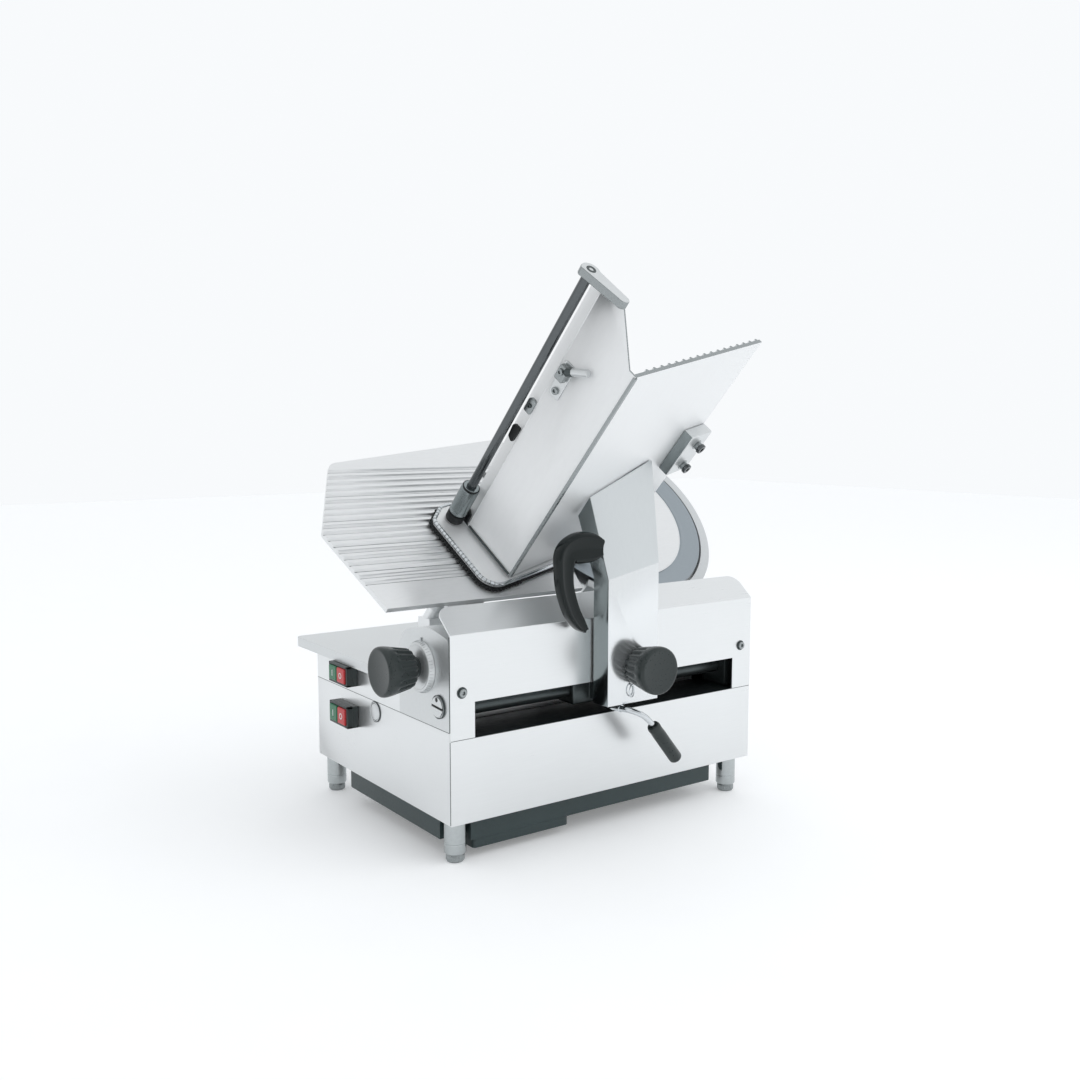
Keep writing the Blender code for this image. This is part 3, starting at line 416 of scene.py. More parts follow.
# ---------------------------------------------------------------- fasteners
def socket_head(radius, height, hole=0.45):
    """A socket screw's head with its hexagon hollow, standing on Z."""
    inner = radius * hole
    floor_radius = inner * 1.05
    floor_height = height * 0.35
    return merged(
        (lathe([(inner, height), (radius * 0.88, height), (radius, height - radius * 0.12),
                (radius, 0.0), (inner, 0.0)], 48), EYE),
        (lathe([(0, floor_height), (floor_radius, floor_height), (floor_radius, 0.0), (0, 0.0)],
               6), EYE),
    )


for side, x, z in (("left", 0.0195, 0.194), ("right", 0.576, 0.198)):
    seat = shifted(MACHINE, x, -GAP, z, "X", 90)
    piece("apron_washer_" + side, lathe([(0.0030, 0.0010), (0.0078, 0.0010), (0.0084, 0.0003),
                                         (0.0084, 0), (0.0030, 0)], 48), seat, "dark_metal_and_shade", BASE)
    piece("apron_head_" + side, socket_head(0.0062, 0.0042), shifted(seat, 0, 0, 0.0003), "screw",
          BASE, ("apron_screw_" + side,), 0.0003)

# dark lines where the sheets meet
for name, low, high in (
    ("seam_left", (-0.0002, 0.0030, 0.1367), (0.0008, 0.4470, 0.1375)),
    ("seam_right", (0.5992, 0.0030, 0.1367), (0.6002, 0.4470, 0.1375)),
    ("seam_front", (0.0010, -0.0002, 0.1248), (0.5990, 0.0008, 0.1256)),
    ("seam_corner", (-0.0002, 0.0009, 0.1378), (0.0008, 0.0032, 0.2760)),
    ("seam_fold", (-0.0002, 0.0009, 0.0020), (0.0008, 0.0024, 0.1240)),
):
    piece(name, block(low, high), MACHINE, "dark_metal_and_shade", BASE, (), 0.0001, segments=1)

# ---------------------------------------------------------------- left end
piece("end_plug_disc",
      lathe([(0, 0.0034), (0.0090, 0.0030), (0.0120, 0.0022), (0.0132, 0.0012), (0.0137, 0.0012),
             (0.0144, 0.0022), (0.0152, 0.0018), (0.0155, 0.0006), (0.0155, 0), (0, 0)], 72),
      PLUG, "cast", BASE, ("end_plug",))
piece("end_plug_rim", lathe([(0.0157, 0.0007), (0.0168, 0.0007), (0.0168, 0), (0.0157, 0)], 72),
      PLUG, "dark_metal_and_shade", BASE)
piece("end_plug_shade", lathe([(0.0133, 0.0015), (0.0143, 0.0015), (0.0143, 0.0009), (0.0133, 0.0009)],
                              72), PLUG, "dark_metal_and_shade", BASE)

# the cam disc is two half discs either side of its slot
CAM_RADIUS = 0.0148
SLOT_HALF_WIDTH = 0.0017
slot_turn = Matrix.Rotation(math.radians(-94), 4, "Z")
slot_reach = math.sqrt(CAM_RADIUS ** 2 - SLOT_HALF_WIDTH ** 2)
slot_angle = math.degrees(math.atan2(SLOT_HALF_WIDTH, slot_reach))
disc = []
for start, end in ((slot_angle, 180 - slot_angle), (180 + slot_angle, 360 - slot_angle)):
    disc.append((slab("XY", arc(0, 0, CAM_RADIUS, start, end, 40), 0.0018, 0.0040), slot_turn))
disc.append((lathe([(0, 0.0018), (0.0156, 0.0018), (0.0160, 0.0012), (0.0160, 0), (0, 0)], 72), EYE))
piece("cam_disc", merged(*disc), CAM, "cast", "cam", ("cam_lock",), 0.0004)
# painted shade: the slot's floor and the keyhole are thin dark pieces
piece("cam_slot_floor", block((-0.0144, -0.0016, 0.0019), (0.0144, 0.0016, 0.0023)), CAM @ slot_turn,
      "recess_shade", "cam")
piece("cam_keyhole", lathe([(0, 0.0044), (0.0030, 0.0044), (0.0035, 0.0041), (0.0035, 0.0036),
                            (0, 0.0036)], 24), shifted(CAM, 0.0108, 0.0004, 0), "recess_shade", "cam")
piece("cam_rim", lathe([(0.0163, 0.0022), (0.0173, 0.0022), (0.0173, 0), (0.0163, 0)], 72), CAM,
      "dark_metal_and_shade", BASE)

SWITCH_LOW_Y = 0.290
SWITCH_HIGH_Y = 0.357
SWITCH_BORDER = 0.0036
for level, low_z, high_z in (("lower", 0.0815, 0.117), ("upper", 0.150, 0.183)):
    frame_parts = [(block((-0.0110, SWITCH_LOW_Y, low_z), (-GAP, SWITCH_HIGH_Y, high_z)), EYE)]
    for low, high in (((SWITCH_LOW_Y, low_z), (SWITCH_HIGH_Y, low_z + SWITCH_BORDER)),
                      ((SWITCH_LOW_Y, high_z - SWITCH_BORDER), (SWITCH_HIGH_Y, high_z)),
                      ((SWITCH_LOW_Y, low_z), (0.2952, high_z)),
                      ((0.3232, low_z), (0.3248, high_z)),
                      ((0.3532, low_z), (SWITCH_HIGH_Y, high_z))):
        frame_parts.append((block((-0.0205, low[0], low[1]), (-0.0108, high[0], high[1])), EYE))
    piece("switch_frame_" + level, merged(*frame_parts), MACHINE, "knob", BASE,
          ("switch_housing_" + level,), 0.0011)
    for colour, low_y, high_y in (("green", 0.3250, 0.3530), ("red", 0.2955, 0.3235)):
        body = "%s_button_%s" % (colour, level)
        piece("button_cap_%s_%s" % (colour, level),
              block((-0.0232, low_y + GAP, low_z + 0.0042),
                    (-0.0140, high_y - GAP, high_z - 0.0042)),
              MACHINE, colour, body, ("button_%s_%s" % (colour, level),), 0.0022, segments=4)
        face = shifted(MACHINE, -0.02315, (low_y + high_y) / 2, (low_z + high_z) / 2, "Y", -90)
        if colour == "green":
            shape = slab("XY", rounded([(-0.0052, -0.0009, 0.0004), (0.0052, -0.0009, 0.0004),
                                        (0.0052, 0.0009, 0.0004), (-0.0052, 0.0009, 0.0004)], 3),
                         0, 0.0003)
        else:
            shape = lathe([(0.0034, 0.0003), (0.0049, 0.0003), (0.0049, 0), (0.0034, 0)], 40)
        piece("button_mark_%s_%s" % (colour, level), shape, face, "mark", body)


# ---------------------------------------------------------------- knobs and dial
FLUTES = 18
FLUTE_DEPTH = 0.0026
FLUTE_FADE = 0.005
FLUTE_TOP = 0.034
TICKS = 48


def grip_shape(start, stem):
    """A fluted, tapering hand knob with a flat face; stem is the profile behind it."""
    profile = [(0, start + 0.0512), (0.0300, start + 0.0512), (0.0325, start + 0.0518),
               (0.0345, start + 0.0512), (0.0362, start + 0.0494), (0.0369, start + 0.0465),
               (0.0368, start + 0.042), (0.0360, start + 0.036), (0.0352, start + 0.032)]
    profile += [(0.0352 - 0.0052 * k / 9, start + 0.032 - 0.026 * k / 9) for k in range(1, 10)]
    profile += [(0.0288, start + 0.003), (0.0262, start + 0.0008), (0.0240, start), *stem]

    def wave(angle, radius, height):
        if radius < 0.025 or height > start + FLUTE_TOP:
            return 1.0
        depth = FLUTE_DEPTH * min(1.0, (start + FLUTE_TOP - height) / FLUTE_FADE)
        return 1.0 - depth / radius * (0.5 - 0.5 * math.cos(FLUTES * angle)) ** 1.4

    return lathe(profile, 216, wave)


piece("thickness_grip", grip_shape(0.0195, [(0.0150, 0.0195), (0.0150, 0.0096), (0.0061, 0.0096),
                                            (0.0061, -0.048), (0, -0.048)]),
      DIAL, "knob", "dial", ("thickness_knob",), angle=50)
piece("arm_grip", grip_shape(0.0004, [(0.0061, 0.0002), (0.0061, -0.030), (0, -0.030)]), KNOB, "knob",
      "clamp_knob", ("arm_knob",), angle=50)
piece("dial_disc", lathe([(0.0062, 0.0092), (0.0310, 0.0092), (0.0325, 0.0086), (0.0340, 0.0092),
                          (0.0352, 0.0090), (0.0366, 0.0080), (0.0386, 0.0022), (0.0390, 0.0012),
                          (0.0390, 0), (0.0062, 0)], 144), shifted(DIAL, 0, 0, GAP), "cast", "dial",
      ("dial_ring",))
ticks = []
for k in range(TICKS):
    turn = Matrix.Rotation(2 * math.pi * k / TICKS, 4, "Z")
    low = 0.0006 if k % 4 == 0 else 0.0026
    ticks.append((slab("XZ", [(0.0387, low), (0.0389, low), (0.0369, 0.0078), (0.0366, 0.0078)],
                       -0.00022, 0.00022), turn))
piece("dial_ticks", merged(*ticks), shifted(DIAL, 0, 0, GAP), "screw", "dial")
piece("dial_pointer", block((0.0394, -0.0012, 0.0002), (0.0432, 0.0012, 0.0018)), DIAL, "screw", BASE,
      (), 0.0005)

# ---------------------------------------------------------------- feet
KNURLS_PER_HALF_TURN = 30
KNURL_DEPTH = 0.0006
KNURL_TOP = -0.0530


def knurl(angle, radius, height):
    """Notches round the base of a foot."""
    notched = int(angle / math.pi * KNURLS_PER_HALF_TURN) % 2 and height < KNURL_TOP
    return 1.0 - (KNURL_DEPTH / radius if notched else 0.0)


for side, x, y in (("front_left", 0.024, 0.030), ("front_right", 0.576, 0.030),
                   ("rear_left", 0.024, 0.429), ("rear_right", 0.576, 0.429)):
    where = shifted(MACHINE, x, y, 0)
    piece("foot_post_" + side,
          lathe([(0, -GAP), (0.0165, -GAP), (0.0165, -0.0345), (0.0161, -0.0350), (0.0161, -0.0362),
                 (0.0165, -0.0367), (0.0165, -0.0486), (0.0158, -0.0500), (0.0142, -0.0514),
                 (0, -0.0514)], 72), where, "foot", BASE, ("foot_" + side,))
    piece("foot_base_" + side,
          lathe([(0, -0.0517), (0.0128, -0.0517), (0.0130, -0.0528), (0.0140, -0.0534),
                 (0.0140, -0.0600), (0.0132, -0.0615), (0.0118, -FOOT_HEIGHT), (0, -FOOT_HEIGHT)],
                120, knurl), where, "screw", BASE, ("foot_pad_" + side,))

# ---------------------------------------------------------------- blade, cover and guard
piece("blade_disc",
      lathe([(0.1455, -0.0046), (0.1525, -0.0046), (0.1545, -0.0043), (0.1680, -0.0021),
             (0.1695, -0.0021), (0.1798, -0.0004), (0.1800, -0.0005), (0.1790, -0.0008),
             (0.1530, -0.0087), (0.0150, -0.0087), (0.0150, -0.0050), (0.1455, -0.0050)], 240),
      BLADE, "blade", "blade_rotor", ("blade",), angle=8)
piece("cover_dish",
      lathe([(0, -0.0006), (0.060, -0.0007), (0.100, -0.0010), (0.128, -0.0014), (0.1365, -0.0017),
             (0.1405, -0.0022), (0.1420, -0.0032), (0.1420, -0.0044), (0.0140, -0.0044),
             (0.0094, -0.0080), (0.0094, -0.0930), (0, -0.0930)], 200),
      BLADE, "tray", BASE, ("blade_cover",), angle=40)
piece("guard_ring",
      merged((lathe([(0.1845, -0.0024), (0.1890, -0.0018), (0.1985, -0.0013), (0.2005, -0.0017),
                     (0.2015, -0.0030), (0.2015, -0.0185), (0.2005, -0.0195), (0.1845, -0.0195)], 180,
                    start=-131.2, sweep=262.4), EYE),
             (lathe([(0.0500, -0.0166), (0.1844, -0.0166), (0.1844, -0.0194), (0.0500, -0.0194)], 200),
              EYE)),
      BLADE, "guard", BASE, ("blade_guard",), 0.0004)

for turn in (30, 150, 270):
    spot = shifted(BLADE, 0, 0, 0, "Z", turn) @ Matrix.Translation((0.128, 0, 0))
    piece("guard_bolt_%d" % turn,
          lathe([(0, -0.0250), (0.0052, -0.0250), (0.0062, -0.0242), (0.0062, -0.0197),
                 (0, -0.0197)], 6), spot, "screw", BASE, (), 0.0004)

# ---------------------------------------------------------------- back of the housing
BACK = 0.4475
COVER_FACE = BACK + 0.0018
LOUVRE_WIDTH = 0.085
piece("back_cover",
      slab("XZ", rounded([(0.165, 0.016, 0.006), (0.560, 0.016, 0.006), (0.560, 0.120, 0.006),
                          (0.165, 0.120, 0.006)]), BACK + GAP, COVER_FACE),
      MACHINE, "cast", BASE, (), 0.0005)
for x in (0.175, 0.3625, 0.550):
    for z in (0.026, 0.110):
        piece("back_screw_%d_%d" % (x * 1000, z * 1000), socket_head(0.0036, 0.0020),
              shifted(MACHINE, x, COVER_FACE, z, "X", -90), "screw", BASE, (), 0.0002)
hoods, slots = [], []
for row in range(7):
    z = 0.040 + row * 0.0085
    for x in (0.230, 0.420):
        hoods.append((slab("YZ", [(COVER_FACE, z), (BACK + 0.0046, z + 0.0006),
                                  (BACK + 0.0042, z + 0.0026), (COVER_FACE, z + 0.0048)],
                           x, x + LOUVRE_WIDTH), EYE))
        slots.append((block((x + 0.001, BACK + 0.0019, z - 0.0014),
                            (x + LOUVRE_WIDTH - 0.001, BACK + 0.0022, z + 0.0002)), EYE))
piece("back_louvres", merged(*hoods), MACHINE, "cast", BASE, (), 0.0004)
# painted shade: dark strips under the louvre hoods stand for their openings
piece("back_slots", merged(*slots), MACHINE, "recess_shade", BASE)
piece("inlet_collar", lathe([(0.0072, 0.0), (0.0200, 0.0), (0.0200, 0.0016), (0.0190, 0.0024),
                             (0.0142, 0.0024), (0.0142, 0.0006), (0.0072, 0.0006)], 48),
      shifted(MACHINE, 0.090, BACK + GAP, 0.070, "X", -90), "knob", BASE)

# ---------------------------------------------------------------- gauge plate
GAUGE_FRONT = -0.0012
GROOVE_FLOOR = -0.0046
RIB_PITCH = 0.0122
RIB_COUNT = 19
RIB_FIRST = 0.0560
LAND_SHARE = 0.46
PLATE_BACK = -0.0105
ROW_STEP = 0.0008
EDGE_DROP = 0.0006
PLATE_RIGHT = 0.300
BLADE_CLEARANCE = 0.186
edge_left = rounded([(0.300, 0.352, 0), (-0.046, 0.302, 0.018), (-0.104, 0.164, 0.012),
                     (-0.053, 0.015, 0.004), (0.300, 0.004, 0)], 10)


def left_end(height):
    """Where a line across the plate meets its left edge."""
    best = PLATE_RIGHT
    for (ax, ay), (bx, by) in zip(edge_left, edge_left[1:]):
        if min(ay, by) <= height <= max(ay, by) and abs(by - ay) > 1e-9:
            best = min(best, ax + (bx - ax) * (height - ay) / (by - ay))
    return best


def right_end(height):
    """Where it meets the blade's clearance."""
    square = BLADE_CLEARANCE ** 2 - (height - BLADE_S) ** 2
    return min(PLATE_RIGHT, BLADE_X - math.sqrt(square)) if square > 0 else PLATE_RIGHT


def rib_depth(height):
    """The plate's face across its ribs: flat lands with round grooves between them."""
    step = (height - RIB_FIRST) / RIB_PITCH
    if step < 0 or step > RIB_COUNT:
        return GAUGE_FRONT
    phase = step % 1.0
    if phase < LAND_SHARE:
        return GAUGE_FRONT
    across = math.sin(math.pi * (phase - LAND_SHARE) / (1 - LAND_SHARE))
    return GAUGE_FRONT + (GROOVE_FLOOR - GAUGE_FRONT) * across ** 0.6


plate = bmesh.new()
low_edge, high_edge = 0.0165, 0.3505
rows = [low_edge + ROW_STEP * k for k in range(int((high_edge - low_edge) / ROW_STEP) + 1)]
front_row, back_row = [], []
for height in rows:
    left, right = left_end(height), right_end(height)
    spots = [left, left + ROW_STEP, *[left + (right - left) * k / 6 for k in range(1, 6)],
             right - ROW_STEP, right]
    face = rib_depth(height)
    front_row.append([plate.verts.new((x, height, face - (EDGE_DROP if i in (0, 8) else 0)))
                      for i, x in enumerate(spots)])
    back_row.append([plate.verts.new((x, height, PLATE_BACK)) for x in spots])
for band in (front_row, back_row):
    for first, second in zip(band, band[1:]):
        for i in range(8):
            plate.faces.new((first[i], first[i + 1], second[i + 1], second[i]))
for row in range(len(rows) - 1):
    for column in (0, 8):
        plate.faces.new((front_row[row][column], front_row[row + 1][column],
                         back_row[row + 1][column], back_row[row][column]))
for row in (0, len(rows) - 1):
    for i in range(8):
        plate.faces.new((front_row[row][i], front_row[row][i + 1], back_row[row][i + 1],
                         back_row[row][i]))
gauge = piece("ribbed_gauge", plate, SLICING, "tray", "gauge", ("gauge_plate",), angle=50)
# painted shade: the faces down in each rib groove get a darker finish
gauge.data.materials.append(FINISHES["groove"])
for face in gauge.data.polygons:
    step = (face.center.y - RIB_FIRST) / RIB_PITCH
    if 0 < step < RIB_COUNT and 0.50 < step % 1.0 < 0.70 and face.center.z > -0.006:
        face.material_index = 1

# ---------------------------------------------------------------- mouth of the chute
def on_chute(along, off, degrees, up_wall):
    """A point of the slicing plane, along and across the wall or the tray."""
    a = math.radians(degrees)
    if up_wall:
        return (CHUTE_X - math.sin(a) * along + math.cos(a) * off,
                CHUTE_S + math.cos(a) * along + math.sin(a) * off)
    return (CHUTE_X + math.cos(a) * along - math.sin(a) * off,
            CHUTE_S + math.sin(a) * along + math.cos(a) * off)


def mouth(inset):
    """The flange's outline, drawn in from its outer edge."""
    return rounded([
        (*on_chute(0.160, 0.0035, WALL_TURN, True), 0.006),
        (*on_chute(0.010, 0.0035, WALL_TURN, True), 0.006),
        (*on_chute(0.300, 0.0095, TRAY_TURN, False), 0.003),
        (*on_chute(0.300 - inset, -0.0200 + inset, TRAY_TURN, False), 0.010),
        (0.1174 + inset * 0.8, 0.0211 + inset, 0.032),
        (0.0762 + inset, 0.1650, 0.014),
        (0.1020 + inset * 0.3, 0.1945 - inset, 0.012),
    ], 10)


piece("mouth_plate", slab("XY", mouth(0.0022), 0.0046, 0.0118), SLICING, "chute", "chute",
      ("chute_flange",), 0.0012)
piece("mouth_gasket", slab("XY", mouth(-0.0004), 0.0006, 0.0044), SLICING, "rubber", "chute", (), 0.0010)
RIM_INSET = 0.0034
piece("mouth_rim", hose([Vector((x, y, 0.0108)) for x, y in mouth(RIM_INSET)], 0.0031, 16, True),
      SLICING, "chrome", "chute")


def along_edge(inset, spacing, count, from_x, from_y):
    """Evenly spaced (point, direction) pairs down the mouth's left edge and round its corner."""
    loop = [Vector((x, y)) for x, y in mouth(inset)]
    start = min(range(len(loop)), key=lambda i: (loop[i] - Vector((from_x, from_y))).length)
    step = 1 if loop[(start + 3) % len(loop)].y < loop[(start - 3) % len(loop)].y else -1
    line = [loop[(start + step * k) % len(loop)] for k in range(len(loop))]
    spots, travelled = [], 0.0
    for here, there in zip(line, line[1:]):
        leg = (there - here).length
        while travelled < leg and len(spots) < count:
            spots.append((here + (there - here) * (travelled / leg), (there - here).normalized()))
            travelled += spacing
        travelled -= leg
    return spots


hoops = []
for spot, run in along_edge(RIM_INSET, 0.0070, 26, 0.096, 0.190):
    low, high = spot - run * 0.0009, spot + run * 0.0009
    hoops.append((hose([Vector((*low, 0.0108)), Vector((*high, 0.0108))], 0.0034, 16), EYE))
piece("mouth_hoops", merged(*hoops), SLICING, "screw", "chute")
studs = []
for spot, _ in along_edge(-0.0004, 0.0062, 40, 0.096, 0.190):
    studs.append((lathe([(0, 0.0046), (0.0020, 0.0042), (0.0026, 0.0034), (0.0026, 0.0012), (0, 0.0008)],
                        14), shifted(EYE, spot.x, spot.y, 0)))
piece("mouth_studs", merged(*studs), SLICING, "rubber", "chute")

# painted shade: the cut edges of the chute's sheets get a darker finish than their faces
wall_normal = WALL.to_3x3() @ Vector((1, 0, 0))
plane_normal = SLICING.to_3x3() @ Vector((0, 0, 1))
for name in ("chute_wall", "chute_tray"):
    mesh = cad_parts[name].data
    mesh.materials.append(FINISHES["screw"])
    for face in mesh.polygons:
        ends = abs(face.normal.dot(plane_normal)) > 0.7
        if ends or (name == "chute_wall" and abs(face.normal.dot(wall_normal)) < 0.45):
            face.material_index = 1

# ---------------------------------------------------------------- wall, tray and their fittings
# painted shade: a mid-grey strip along the rolled corner where the wall meets the tray
piece("corner_shade_strip", slab("XY", [(-0.0013, 0.0032), (-0.0013, -0.0013), (0.0040, -0.0013),
                                 (0.0040, -0.0003), (-0.0003, -0.0003), (-0.0003, 0.0032)],
                          0.0147, 0.4300), WALL, "screw", "chute", (), 0.0004)
piece("wall_foot", slab("YZ", [(0.004, 0.0146), (0.108, 0.0146), (0.108, 0.0186), (0.004, 0.0186)],
                        -0.0022, -0.0003), WALL, "dark_metal_and_shade", "chute", (), 0.0006)
piece("latch_plate", slab("YZ", rounded([(0.0830, 0.3120, 0.004), (0.1035, 0.3120, 0.004),
                                         (0.1035, 0.3720, 0.004), (0.0830, 0.3720, 0.004)]),
                          -0.0032, -GAP), WALL, "cast", "chute", ("wall_latch",), 0.0006)
piece("latch_block", block((-0.0150, 0.0850, 0.3450), (-0.0034, 0.1015, 0.3690)), WALL, "screw",
      "chute", (), 0.0026)
piece("latch_screws",
      merged((socket_head(0.0056, 0.0034), shifted(EYE, -0.0033, 0.0932, 0.3230, "Y", -90)),
             (socket_head(0.0050, 0.0030), shifted(EYE, -0.0152, 0.0940, 0.3600, "Y", -90))),
      WALL, "screw", "chute", (), 0.0003)
piece("latch_hook", hose(flowing([(-0.0098, 0.0880, 0.3640), (-0.0102, 0.0800, 0.3710),
                                  (-0.0104, 0.0690, 0.3800), (-0.0104, 0.0580, 0.3890)]), 0.0056, 20),
      WALL, "cast", "chute", (), 0.0012)
# painted shade: a dark sleeve over the root of the hook
piece("latch_hook_root_shade",
      hose([Vector((-0.0098, 0.0890, 0.3630)), Vector((-0.0102, 0.0800, 0.3710))], 0.0066, 20),
      WALL, "dark_metal_and_shade", "chute", (), 0.0012)
piece("stop_lever", slab("YZ", rounded([(0.1130, 0.2000, 0.003), (0.1240, 0.2060, 0.004),
                                        (0.1260, 0.2300, 0.005), (0.1110, 0.2300, 0.003)]),
                         -0.0066, -0.0004), WALL, "rubber", "chute", (), 0.0014)
piece("stop_catch", slab("YZ", rounded([(0.1100, 0.2590, 0.003), (0.1240, 0.2590, 0.003),
                                        (0.1240, 0.2850, 0.006), (0.1100, 0.2850, 0.006)]),
                         -0.0050, -0.0004), WALL, "screw", "chute", (), 0.0010)
piece("stop_catch_screw", socket_head(0.0036, 0.0022), shifted(WALL, -0.0051, 0.1170, 0.2720, "Y", -90),
      "dark_metal_and_shade", "chute", (), 0.0003)

piece("bracket_body", slab("XZ", rounded([(0.2555, 0.176, 0.003), (0.3115, 0.176, 0.003),
                                          (0.3115, 0.262, 0.003), (0.2555, 0.262, 0.003)]),
                           -0.0195, -GAP),
      TRAY, "cast", "chute", ("tray_bracket",), 0.0020)
# painted shade: the bracket's left and lower faces get a darker finish
bracket_mesh = bpy.data.objects["bracket_body"].data
bracket_mesh.materials.append(FINISHES["shade"])
for face in bracket_mesh.polygons:
    if face.normal.x < -0.5 or face.normal.z < -0.5:
        face.material_index = 1
for height in (0.192, 0.238):
    where = shifted(TRAY, 0.288, -0.0190, height, "X", 90)
    piece("bracket_boss_%d" % (height * 1000),
          lathe([(0, 0.0070), (0.0060, 0.0070), (0.0068, 0.0062), (0.0068, 0.0020), (0.0092, 0.0010),
                 (0.0092, 0), (0, 0)], 40), where, "screw", "chute")
    piece("bracket_cap_%d" % (height * 1000), socket_head(0.0084, 0.0058),
          shifted(where, 0, 0, 0.0072), "rod", "chute", (), 0.0005)

# ---------------------------------------------------------------- rod, bar and sleeve
piece("slide_rod",
      merged((lathe([(0, 0.4930), (0.0073, 0.4930), (0.0073, 0.0310), (0, 0.0310)], 48), EYE),
             (lathe([(0, 0.0306), (0.0118, 0.0306), (0.0118, 0.0146), (0, 0.0146)], 48), EYE)),
      ROD, "rod", "chute", ("pusher_rod",))
piece("rod_collar", lathe([(0.0120, 0.0296), (0.0140, 0.0292), (0.0146, 0.0280), (0.0146, 0.0160),
                           (0.0140, 0.0148), (0.0120, 0.0146)], 56), ROD, "rubber", "chute")
piece("rod_foot_block", block((0.0165, -0.0120, 0.0146), (0.0330, 0.0050, 0.0330)), ROD, "rubber",
      "chute", (), 0.0022)
BAR_LOW = 0.4935
BAR_HIGH = 0.5058
bar = arc(-0.014, 0.131, 0.0145, -30, 150, 24) + arc(-0.0060, 0.072, 0.0085, 170, 350, 20)
piece("top_bar", merged((slab("XY", bar, BAR_LOW, BAR_HIGH), WALL)), EYE, "cast", "chute",
      ("rod_top_bar",), 0.0018, segments=4)
# painted shade: the top bar's sides get a darker finish than its top
bar_mesh = bpy.data.objects["top_bar"].data
bar_mesh.materials.append(FINISHES["screw"])
for face in bar_mesh.polygons:
    if abs(face.normal.dot(WALL.col[2].xyz)) < 0.5:
        face.material_index = 1
piece("top_bar_shadow", slab("XY", arc(-0.014, 0.131, 0.0128, -30, 150, 20)
                             + arc(-0.0060, 0.072, 0.0070, 170, 350, 16), 0.4933, 0.4936), WALL,
      "dark_metal_and_shade", "chute")
piece("top_bar_screw", merged((lathe([(0.0034, 0.0012), (0.0068, 0.0012), (0.0074, 0.0006),
                                      (0.0074, 0), (0.0034, 0)], 48), EYE),
                              (lathe([(0, 0.0004), (0.0036, 0.0004), (0.0036, 0), (0, 0)], 6), EYE)),
      shifted(WALL, -0.014, 0.131, 0.5050), "dark_metal_and_shade", "chute")
piece("slide_sleeve",
      lathe([(0.0078, 0.0900), (0.0120, 0.0900), (0.0128, 0.0892), (0.0128, 0.0868), (0.0146, 0.0862),
             (0.0148, 0.0850), (0.0148, 0.0400), (0.0140, 0.0392), (0.0140, 0.0368), (0.0148, 0.0360),
             (0.0148, 0.0330), (0.0138, 0.0318), (0.0078, 0.0318)], 72),
      ROD, "shade", "pusher_hub", ("pusher_sleeve",))
piece("sleeve_ring", lathe([(0.0129, 0.0866), (0.0138, 0.0872), (0.0138, 0.0890), (0.0129, 0.0895)],
                           56), ROD, "rubber", "pusher_hub")

# ---------------------------------------------------------------- bow handle
BOW = flowing([(0.2493, 0.3890, 0.0140), (0.2320, 0.3908, 0.0218), (0.2060, 0.3910, 0.0235),
               (0.1855, 0.3835, 0.0180), (0.1812, 0.3580, 0.0138), (0.1838, 0.3300, 0.0126),
               (0.1950, 0.2980, 0.0118), (0.2090, 0.2770, 0.0090), (0.2180, 0.2670, 0.0046)], 8)
BOW_SIDES = 40
BOW_Y = -0.0242
BOW_HALF_WIDTH = 0.0120
BOW_SQUARENESS = 0.55
bow = bmesh.new()
sections = []
for i, (x, z, reach) in enumerate(BOW):
    ahead = Vector(BOW[min(i + 1, len(BOW) - 1)][:2]) - Vector(BOW[max(i - 1, 0)][:2])
    ahead.normalize()
    across = Vector((-ahead.y, ahead.x))
    ring = []
    for k in range(BOW_SIDES):
        a = 2 * math.pi * k / BOW_SIDES
        out = math.copysign(abs(math.cos(a)) ** BOW_SQUARENESS, math.cos(a)) * reach
        side = math.copysign(abs(math.sin(a)) ** BOW_SQUARENESS, math.sin(a)) * BOW_HALF_WIDTH
        if side < 0:
            side *= 1.0 - 0.30 * math.exp(-(math.cos(a) / 0.40) ** 2)
        ring.append(bow.verts.new((x + across.x * out, BOW_Y + side, z + across.y * out)))
    sections.append(ring)
for first_ring, next_ring in zip(sections, sections[1:]):
    for k in range(BOW_SIDES):
        m = (k + 1) % BOW_SIDES
        bow.faces.new((first_ring[k], first_ring[m], next_ring[m], next_ring[k]))
bow.faces.new(sections[0])
bow.faces.new(sections[-1])
piece("bow_grip", bow, MACHINE, "gloss", "chute", ("bow_handle",), angle=50)

# ---------------------------------------------------------------- drive lever
SLOPE_DEGREES = 51
slope = math.radians(SLOPE_DEGREES)


def along_grip(distance):
    """A point of the grip's axis in the lever's frame."""
    return (0.0385 + distance * math.cos(slope), -0.060, -0.0260 - distance * math.sin(slope))


rod_line = flowing([(0.0, -0.014, 0.0), (0.0, -0.034, 0.0), (0.006, -0.050, -0.001),
                    (0.0200, -0.059, -0.0085), along_grip(-0.006), along_grip(0.007),
                    along_grip(0.020)], 10)
piece("lever_bar", merged((hose(rod_line, 0.0045, 24), EYE),
                          (lathe([(0, 0.005), (0.0063, 0.005), (0.0063, -0.0300), (0.0055, -0.031),
                                  (0, -0.031)], 48), shifted(EYE, 0, 0, 0, "X", -90))),
      LEVER, "chrome", "lever", ("lever_rod",))
GRIP = shifted(LEVER, 0.0385, -0.060, -0.0260, "Y", 90 + SLOPE_DEGREES)
piece("lever_handle",
      lathe([(0, 0.0800), (0.0060, 0.0800), (0.0088, 0.0792), (0.0102, 0.0774), (0.0106, 0.0750),
             (0.0104, 0.0200), (0.0100, 0.0120), (0.0104, 0.0080), (0.0104, 0.0040), (0.0090, 0.0006),
             (0.0060, 0.0000), (0.0050, 0.0010), (0.0050, 0.0240), (0, 0.0240)], 56),
      GRIP, "knob", "lever", ("lever_grip",), angle=50)
